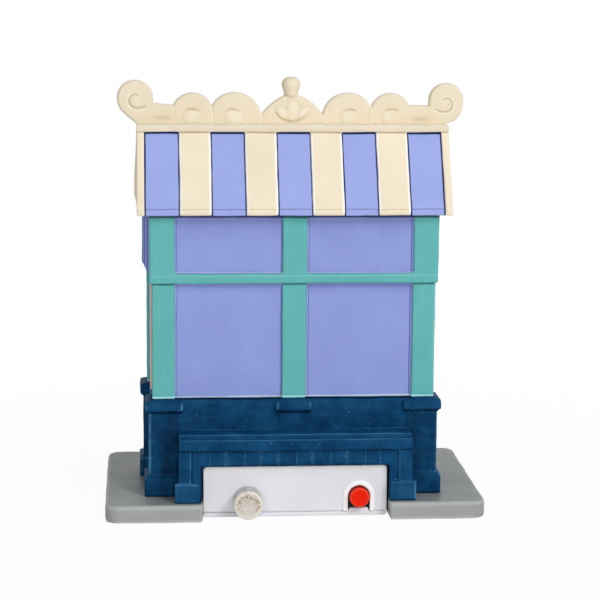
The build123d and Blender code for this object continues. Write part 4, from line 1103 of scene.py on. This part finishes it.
def crestMesh(name):
    shape, step = crestShape, crestShape["step"]
    outline = np.array(crestOutline())
    low, high = outline.min(0), outline.max(0)
    columns = np.arange(low[0], high[0], step)
    rows = np.arange(low[1] + step, high[1], step * shape["rowShare"])
    grid = np.array([(x + step / 2 * (row % 2), z) for row, z in enumerate(rows) for x in columns])
    grid = grid[edgeDistance(grid, outline) > step * shape["innerShare"]]
    flat = [Vector(point) for point in np.concatenate([outline, grid])]
    found = delaunay_2d_cdt(flat, [], [list(range(len(outline)))], 1, shape["weld"])
    base, count = boxMm("cornice")[1][2], len(found[0])
    faces = []
    for face in found[2]:
        faces += [tuple(face), tuple(corner + count for corner in reversed(face))]
    places = [(point[0], side, base + point[1]) for side in (-1, 1) for point in found[0]]
    mesh = meshFrom(name, places, faces)
    points = pointsOf(mesh).astype(float)
    x, z = points[:, 0].copy(), points[:, 2] - base
    inner = np.clip(edgeDistance(np.stack([x, z], 1), outline), 0, None)
    relief, groove, lip = crestRelief(x, z)
    swell = dome(1 - np.clip(inner / shape["edge"], 0, 1))
    points[:, 1] = houseY + points[:, 1] * (shape["half"] + relief) * swell
    for nudgeX, nudgeZ, reach, right, up in shape["nudges"]:
        pull = bell(np.hypot(x - nudgeX, z - nudgeZ), reach) * smoothStep(z, *shape["nudgeFoot"])
        points[:, 0] += right * pull
        points[:, 2] += up * pull
    setPoints(mesh, points)
    carved = smoothStep(inner, *shape["carved"])
    # painted shade in the grooves, painted highlight on the lips and along the outline
    setValues(mesh, "paintedShadeAndLines", groove * carved)
    setValues(mesh, "wearAndHighlight", strongest(lip * carved, shape["edgeLip"] * fadeOut(inner, *shape["edgeLine"])))
    return mesh


crest = newPiece("crestRelief", crestMesh("crestRelief"))
finishPiece(crest, crestPaint, ["crest"])
print("crest made", len(crest.data.polygons), "faces")


def turnedMesh(name, profile, axis, centre, sides=64):
    # profile of (radius, along) pairs turned about an axis through centre
    points, faces = [], []
    for radius, along in profile:
        for side in range(sides):
            a, b = radius * cos(tau * side / sides), radius * sin(tau * side / sides)
            points.append((a, along, b) if axis == "Y" else (a, b, along))
    for ring in range(len(profile) - 1):
        for side in range(sides):
            after = (side + 1) % sides
            a, b = ring * sides, (ring + 1) * sides
            faces.append((a + side, a + after, b + after, b + side))
    return meshFrom(name, np.array(points) + np.array(centre), faces)


def smoothProfile(corners, parts):
    # a soft curve through the corners of a turned profile
    line = []
    padded = [corners[0]] + corners + [corners[-1]]
    for a, b, c, d in zip(padded, padded[1:], padded[2:], padded[3:]):
        for k in range(parts):
            t = k / parts
            line.append(tuple(0.5 * (
                2 * b[i] + (c[i] - a[i]) * t + (2 * a[i] - 5 * b[i] + 4 * c[i] - d[i]) * t * t
                + (3 * b[i] - a[i] - 3 * c[i] + d[i]) * t ** 3
            ) for i in (0, 1)))
    return [(max(radius, 0), along) for radius, along in line] + [corners[-1]]


# Egg-shaped finial, a little left of the middle, with painted shade at its foot
finialShape = {
    "left": 0.3, "parts": 5, "sides": 40, "footTone": 0.6, "footLine": (0.1, 0.3), "profile": [
        (0, -0.5), (2.15, -0.5), (2.15, 0.2), (2.4, 1.4), (2.85, 2.7), (2.95, 3.6), (2.6, 4.7), (1.6, 5.6),
        (0, 5.9),
    ],
}
finialBase = boxMm("finial")[0][2]
finialProfile = smoothProfile(finialShape["profile"], finialShape["parts"])
finialCentre = (-finialShape["left"], houseY, finialBase)
finialMesh = turnedMesh("finialBulb", finialProfile, "Z", finialCentre, finialShape["sides"])
finialFoot = band(pointsOf(finialMesh)[:, 2], finialBase, *finialShape["footLine"])
setValues(finialMesh, "paintedShadeAndLines", finialShape["footTone"] * finialFoot)
finishPiece(newPiece("finialBulb", finialMesh), crestPaint, ["finial"])

# Module mouldings keep straight plastic faces; painted highlight lies on the front edges, along the top and
# on the arch rim, painted shadow fills the slot round them, and a dark seam runs near the foot
shellMoulding = {
    "voxel": 0.36, "ease": 1, "longer": 0.4, "longerFrom": (26.5, 28.5), "skin": 0.3, "slot": (0.2, 0.6),
    "corner": 0.2, "cornerFrom": 2.0, "seam": 0.22, "seamLine": (0.1, 0.15, 0.2), "seamFades": 0.75,
    "seamSides": (-20, 0), "front": (0.3, 0.6), "rim": (0.1, 0.3), "edge": (0.55, 0.9), "topEdge": (0.8, 2.4),
}


def longerModule(points):
    share = smoothStep(points[:, 0], *shellMoulding["longerFrom"])
    return shifted(points, 0, shellMoulding["longer"] * share)


def shellShade(points, paintedShadeAndLines, wearAndHighlight):
    cast = shellMoulding
    x, y, z = points.T
    top = shellHigh[2] - z
    inset = np.minimum(coverHigh[0] + cast["longer"] * (x > 0) - np.abs(x), top)
    behind = y - coverLow[1]
    slot = (inset < cast["skin"]) * smoothStep(behind, *cast["slot"])
    faint = 1 - cast["seamFades"] * smoothStep(x, *cast["seamSides"])
    seam = cast["seam"] * faint * band(z - shellLow[2], *cast["seamLine"])
    corner = paintedShadeAndLines * cast["corner"] * (inset > cast["cornerFrom"])
    rim = fadeOut(y - shellLow[1], *cast["rim"])
    edge = strongest(fadeOut(inset, *cast["edge"]), fadeOut(top, *cast["topEdge"]))
    return strongest(slot, corner, seam), strongest(edge, rim) * fadeOut(behind, *cast["front"])


for name, node in (("moduleShellMoulding", "module_shell"), ("moduleCoverMoulding", "module_cover")):
    castPiece(name, node, shellMoulding, whiteAbs, shellShade, longerModule, bend=False)

# Push button: short cap with a rounded rim and a very slightly dished face
buttonShape = {
    "larger": 0.12, "dish": 0.1, "halfway": 0.08, "parts": 3, "flankTone": 0.6, "flank": (0.3, 0.7),
    "rimTone": 0.7, "rimLine": (-0.3, 0.1, 0.3),
    "rim": ((0.75, 0.02), (0.4, 0.05), (0.12, 0.25), (0.0, 0.6), (0.0, 1.2)),
}
buttonLow, buttonHigh = boxMm("power_button")
buttonX, buttonZ = (buttonLow[0] + buttonHigh[0]) / 2, (buttonLow[2] + buttonHigh[2]) / 2
buttonRadius = (buttonHigh[0] - buttonLow[0]) / 2 + buttonShape["larger"]
buttonLength = buttonHigh[1] - buttonLow[1]
buttonProfile = [(0, buttonShape["dish"]), (buttonRadius / 2, buttonShape["halfway"])]
buttonProfile += [(buttonRadius - inset, along) for inset, along in buttonShape["rim"]]
buttonProfile += [(buttonRadius, buttonLength)]
buttonProfile = smoothProfile(buttonProfile, buttonShape["parts"]) + [(0, buttonLength)]
buttonMesh = turnedMesh("buttonCap", buttonProfile, "Y", (buttonX, buttonLow[1], buttonZ))
x, y, z = pointsOf(buttonMesh).T
buttonFlank = smoothStep(y - buttonLow[1], *buttonShape["flank"])
buttonRim = band(np.hypot(x - buttonX, z - buttonZ) - buttonRadius, *buttonShape["rimLine"])
# painted shade on the flank, painted highlight on the rim
setValues(buttonMesh, "paintedShadeAndLines", buttonShape["flankTone"] * buttonFlank)
setValues(buttonMesh, "wearAndHighlight", buttonShape["rimTone"] * buttonRim)
button = newPiece("buttonCap", buttonMesh)
finishPiece(button, redAbs, ["power_button"], body="button", bend=False)

# Volume knob: long milky cap, finely knurled, with a smooth disc in its face
knobShape = {
    "flutes": 48, "ridge": 0.08, "fluteShare": 1.2, "fluteEnd": 0.2, "round": 0.5, "roundShare": 0.3,
    "disc": 2.6, "sunk": 0.08, "step": 0.15, "sides": 96,
}
knobLow, knobHigh = boxMm("volume_knob")
knobCentre = ((knobLow[0] + knobHigh[0]) / 2, knobLow[1], (knobLow[2] + knobHigh[2]) / 2)
knobRadius, knobLength = (knobHigh[0] - knobLow[0]) / 2, knobHigh[1] - knobLow[1]
ridge, disc, sunk, bevel = (knobShape[size] for size in ("ridge", "disc", "sunk", "round"))
rim = knobRadius - ridge
knobProfile = [
    (0, sunk), (disc, sunk), (disc + knobShape["step"], 0.0), (rim - bevel, 0.0),
    (rim - bevel * knobShape["roundShare"], bevel * knobShape["roundShare"]), (rim, bevel), (rim, knobLength),
    (0, knobLength),
]

# Milky pressed resin: fibres that fan out over the disc, golden grit round it, cloudy grey sides
resinGrain = {
    "fibres": ("#CFC4BA", "#E8E3DD"), "rim": "#F0EADC", "grains": "#8F7C52", "flank": ("#FFFFFF", "#E2DED4"),
    "spokes": 7.0, "stretch": 0.4, "fibreRange": (0.38, 0.62), "grit": 0.55, "gritRange": (0.42, 0.6),
    "ragged": 0.8, "rimWidth": 1.2, "ringOut": 0.75, "ringRange": (0.2, 1.1, 1.0, 0.1),
    "ringLow": (-3, 1, 0.25), "flankRange": (0.4, 1.2), "bump": 0.4, "relief": 0.1,
    "milk": 0.7, "milkDepth": 2.5,
}


def milkyResin(name, centre):
    coat = resinGrain
    material = bpy.data.materials.new(name)
    tree = freshTree(material)
    place = addNode(tree, "ShaderNodeTexCoord").outputs["Object"]
    inMm = addNode(tree, "ShaderNodeVectorMath", {0: place, "Scale": 1 / mm}, operation="SCALE").outputs[0]
    local = addNode(tree, "ShaderNodeVectorMath", {0: inMm, 1: centre}, operation="SUBTRACT").outputs[0]
    parts = addNode(tree, "ShaderNodeSeparateXYZ", {0: local}).outputs
    flat = addNode(tree, "ShaderNodeCombineXYZ", {0: parts[0], 2: parts[2]}).outputs[0]
    away = addNode(tree, "ShaderNodeVectorMath", {0: flat}, operation="LENGTH").outputs["Value"]
    angle = addNode(tree, "ShaderNodeMath", {0: parts[2], 1: parts[0]}, operation="ARCTAN2").outputs[0]
    spoke = addNode(tree, "ShaderNodeMath", {0: angle, 1: coat["spokes"]}, operation="MULTIPLY").outputs[0]
    out = addNode(tree, "ShaderNodeMath", {0: away, 1: coat["stretch"]}, operation="MULTIPLY").outputs[0]
    fan = addNode(tree, "ShaderNodeCombineXYZ", {0: spoke, 1: out}).outputs[0]
    fibre = addNode(tree, "ShaderNodeTexNoise", {"Vector": fan, "Scale": 1.0, "Detail": 3.0}).outputs[0]
    grit = addNode(tree, "ShaderNodeTexNoise", {
        "Vector": place, "Scale": 1 / (coat["grit"] * mm), "Detail": 3.0,
    }).outputs[0]
    shake = (0.0, 1.0, -coat["ragged"], coat["ragged"])
    ragged = addNode(tree, "ShaderNodeMapRange", {"Value": grit, **span(shake)}).outputs[0]
    edge = addNode(tree, "ShaderNodeMath", {0: away, 1: ragged}).outputs[0]
    disc = knobShape["disc"]
    off = addNode(tree, "ShaderNodeMath", {
        0: edge, 1: disc + coat["ringOut"],
    }, operation="SUBTRACT").outputs[0]
    near = addNode(tree, "ShaderNodeMath", {0: off}, operation="ABSOLUTE").outputs[0]
    fibreShare, gritShare, toRim, ring, upper, toFlank = (
        addNode(tree, "ShaderNodeMapRange", {"Value": value, **span(limits)}).outputs[0]
        for value, limits in (
            (fibre, coat["fibreRange"]), (grit, coat["gritRange"]), (edge, (disc, disc + coat["rimWidth"])),
            (near, coat["ringRange"]), (parts[2], coat["ringLow"]), (parts[1], coat["flankRange"]),
        )
    )
    grains = addNode(tree, "ShaderNodeMath", {0: ring, 1: gritShare}, operation="MULTIPLY").outputs[0]
    brown = addNode(tree, "ShaderNodeMath", {0: grains, 1: upper}, operation="MULTIPLY").outputs[0]
    (fibreDark, fibrePale), (flankPale, flankDark) = (
        [hexColour(code) for code in coat[pair]] for pair in ("fibres", "flank")
    )
    flank = addNode(tree, "ShaderNodeMix", {
        0: gritShare, 6: flankPale, 7: flankDark,
    }, data_type="RGBA").outputs[2]
    tone = fibreDark
    for share, shade in (
        (fibreShare, fibrePale), (toRim, hexColour(coat["rim"])), (brown, hexColour(coat["grains"])),
        (toFlank, flank),
    ):
        tone = addNode(tree, "ShaderNodeMix", {0: share, 6: tone, 7: shade}, data_type="RGBA").outputs[2]
    normal = addNode(tree, "ShaderNodeBump", {
        "Height": grit, "Strength": coat["bump"], "Distance": coat["relief"] * mm,
    }).outputs[0]
    shader = addNode(tree, "ShaderNodeBsdfPrincipled", {
        "Base Color": tone, "Roughness": 0.45, "Normal": normal, "IOR": 1.49, "Specular IOR Level": 0.25,
        "Subsurface Weight": coat["milk"], "Subsurface Radius": (1.0, 1.0, 1.0),
        "Subsurface Scale": coat["milkDepth"] * mm,
    })
    addNode(tree, "ShaderNodeOutputMaterial", {"Surface": shader.outputs[0]})
    return material


knobResin = milkyResin("milkyKnobResin", knobCentre)
knob = newPiece("knobCap", turnedMesh("knobCap", knobProfile, "Y", knobCentre, knobShape["sides"]))
finishPiece(knob, knobResin, ["volume_knob"], body="volume", bend=False)
fluteHalf = ridge * knobShape["fluteShare"]
fluteHigh = (fluteHalf, knobLength - knobShape["fluteEnd"], knobRadius)
flutes = newPiece("knobFlutes", softBlock("knobFlutes", (-fluteHalf, bevel, rim - ridge), fluteHigh, ridge))
inRing(flutes, knobShape["flutes"], knobCentre, knobResin)
finishPiece(flutes, knobResin, [], body="volume", bend=False)
print("controls made")

# CAD nodes that keep their shape take a finish each
nodeFinishes = (
    (milkySheet, ("front_window_panes", "side_window_panes")),
    (darkRedPaint, ("side_aprons",)),
    (whiteAbs, ("battery_door", "volume_shaft", "switch_plunger")),
    (cellWrap, ("first_cell", "second_cell")),
    (nickelPlate, ("series_contact", "terminal_contacts", "speaker_basket", "module_screws")),
    (greenLaminate, ("control_board", "light_board")),
    (blackResin, ("sound_chip",)),
    (blackAbs, ("capacitor", "volume_pot", "power_switch")),
    (darkFerrite, ("speaker_magnet",)),
    (blackPaper, ("speaker_cone",)),
    (warmLens, ("leds",)),
    (redSleeve, ("light_lead", "speaker_lead", "battery_leads")),
)
for finish, nodes in nodeFinishes:
    for node in nodes:
        materials = cadNodes[node].data.materials
        if not len(materials):
            materials.append(finish)
        for place in range(len(materials)):
            materials[place] = finish
print("finishes set")

# Camera fitted to the photograph: place in metres, angles in radians, focal length in pixels
cameraView = {
    "place": (-0.04796, -0.61856, 0.17284), "yaw": 0.0831, "pitch": -0.1719, "roll": 0.0085,
    "focal": 1922.71, "frame": 600, "sensor": 36,
}
lens = bpy.data.cameras.new("photoCamera")
lens.sensor_width = cameraView["sensor"]
lens.lens = cameraView["focal"] / cameraView["frame"] * cameraView["sensor"]
camera = newPiece("photoCamera", lens)
turn = Euler((pi / 2 + cameraView["pitch"], 0, -cameraView["yaw"])).to_matrix().to_4x4()
roll = Matrix.Rotation(cameraView["roll"], 4, "Z")
camera.matrix_world = Matrix.Translation(cameraView["place"]) @ turn @ roll
scene.camera = camera

# Soft white room: the camera and reflections see plain white, the surfaces get an even light
studio = {
    "ambient": 0.36, "key": 5.9, "keyPlace": (0.55, -0.75, 0.78), "keySize": 0.4,
    "fill": 2.4, "fillPlace": (-0.15, -0.95, 0.16), "fillSize": 0.5, "aim": (0, 0, 0.06),
}
white = (1, 1, 1, 1)
world = bpy.data.worlds.new("studio")
scene.world = world
tree = freshTree(world)
path = addNode(tree, "ShaderNodeLightPath").outputs
seen = path["Is Camera Ray"]
for ray in ("Is Glossy Ray", "Is Transmission Ray"):
    seen = addNode(tree, "ShaderNodeMath", {0: seen, 1: path[ray]}, operation="MAXIMUM").outputs[0]
even = addNode(tree, "ShaderNodeBackground", {"Color": white, "Strength": studio["ambient"]})
plain = addNode(tree, "ShaderNodeBackground", {"Color": white, "Strength": 1.0})
room = addNode(tree, "ShaderNodeMixShader", {0: seen, 1: even.outputs[0], 2: plain.outputs[0]})
addNode(tree, "ShaderNodeOutputWorld", {"Surface": room.outputs[0]})
for name in ("key", "fill"):
    lamp = bpy.data.lights.new(name + "Light", "AREA")
    lamp.energy = studio[name]
    lamp.size = studio[name + "Size"]
    light = newPiece(name + "Light", lamp)
    spot = Vector(studio[name + "Place"])
    aim = (Vector(studio["aim"]) - spot).to_track_quat("-Z", "Y").to_matrix().to_4x4()
    light.matrix_world = Matrix.Translation(spot) @ aim

# Pale floor that keeps the shadow, bright enough for the camera to meet the white room
floorShape = {"half": 3.0, "drop": 0.0002, "paint": "#F4F4F4", "fade": (0.07, 0.22, 0.95)}
reach, depth = floorShape["half"], -floorShape["drop"]
floorCorners = [
    (-reach, -reach, depth), (reach, -reach, depth), (reach, reach, depth), (-reach, reach, depth),
]
floorMesh = meshFrom("floor", floorCorners, [(0, 1, 2, 3)])
floor = newPiece("floor", floorMesh)
floorPaint = bpy.data.materials.new("paleFloor")
tree = freshTree(floorPaint)
path = addNode(tree, "ShaderNodeLightPath").outputs
matt = addNode(tree, "ShaderNodeBsdfDiffuse", {"Color": hexColour(floorShape["paint"])})
glow = addNode(tree, "ShaderNodeEmission", {"Color": white, "Strength": 1.0})
place = addNode(tree, "ShaderNodeTexCoord").outputs["Object"]
away = addNode(tree, "ShaderNodeVectorMath", {0: place}, operation="LENGTH").outputs["Value"]
fade = addNode(tree, "ShaderNodeMapRange", {"Value": away, **span(floorShape["fade"])}).outputs[0]
share = addNode(tree, "ShaderNodeMath", {0: path["Is Camera Ray"], 1: fade}, operation="MULTIPLY")
mixed = addNode(tree, "ShaderNodeMixShader", {0: share.outputs[0], 1: matt.outputs[0], 2: glow.outputs[0]})
addNode(tree, "ShaderNodeOutputMaterial", {"Surface": mixed.outputs[0]})
floorMesh.materials.append(floorPaint)
scene.view_settings.view_transform = "Standard"
print("studio set")
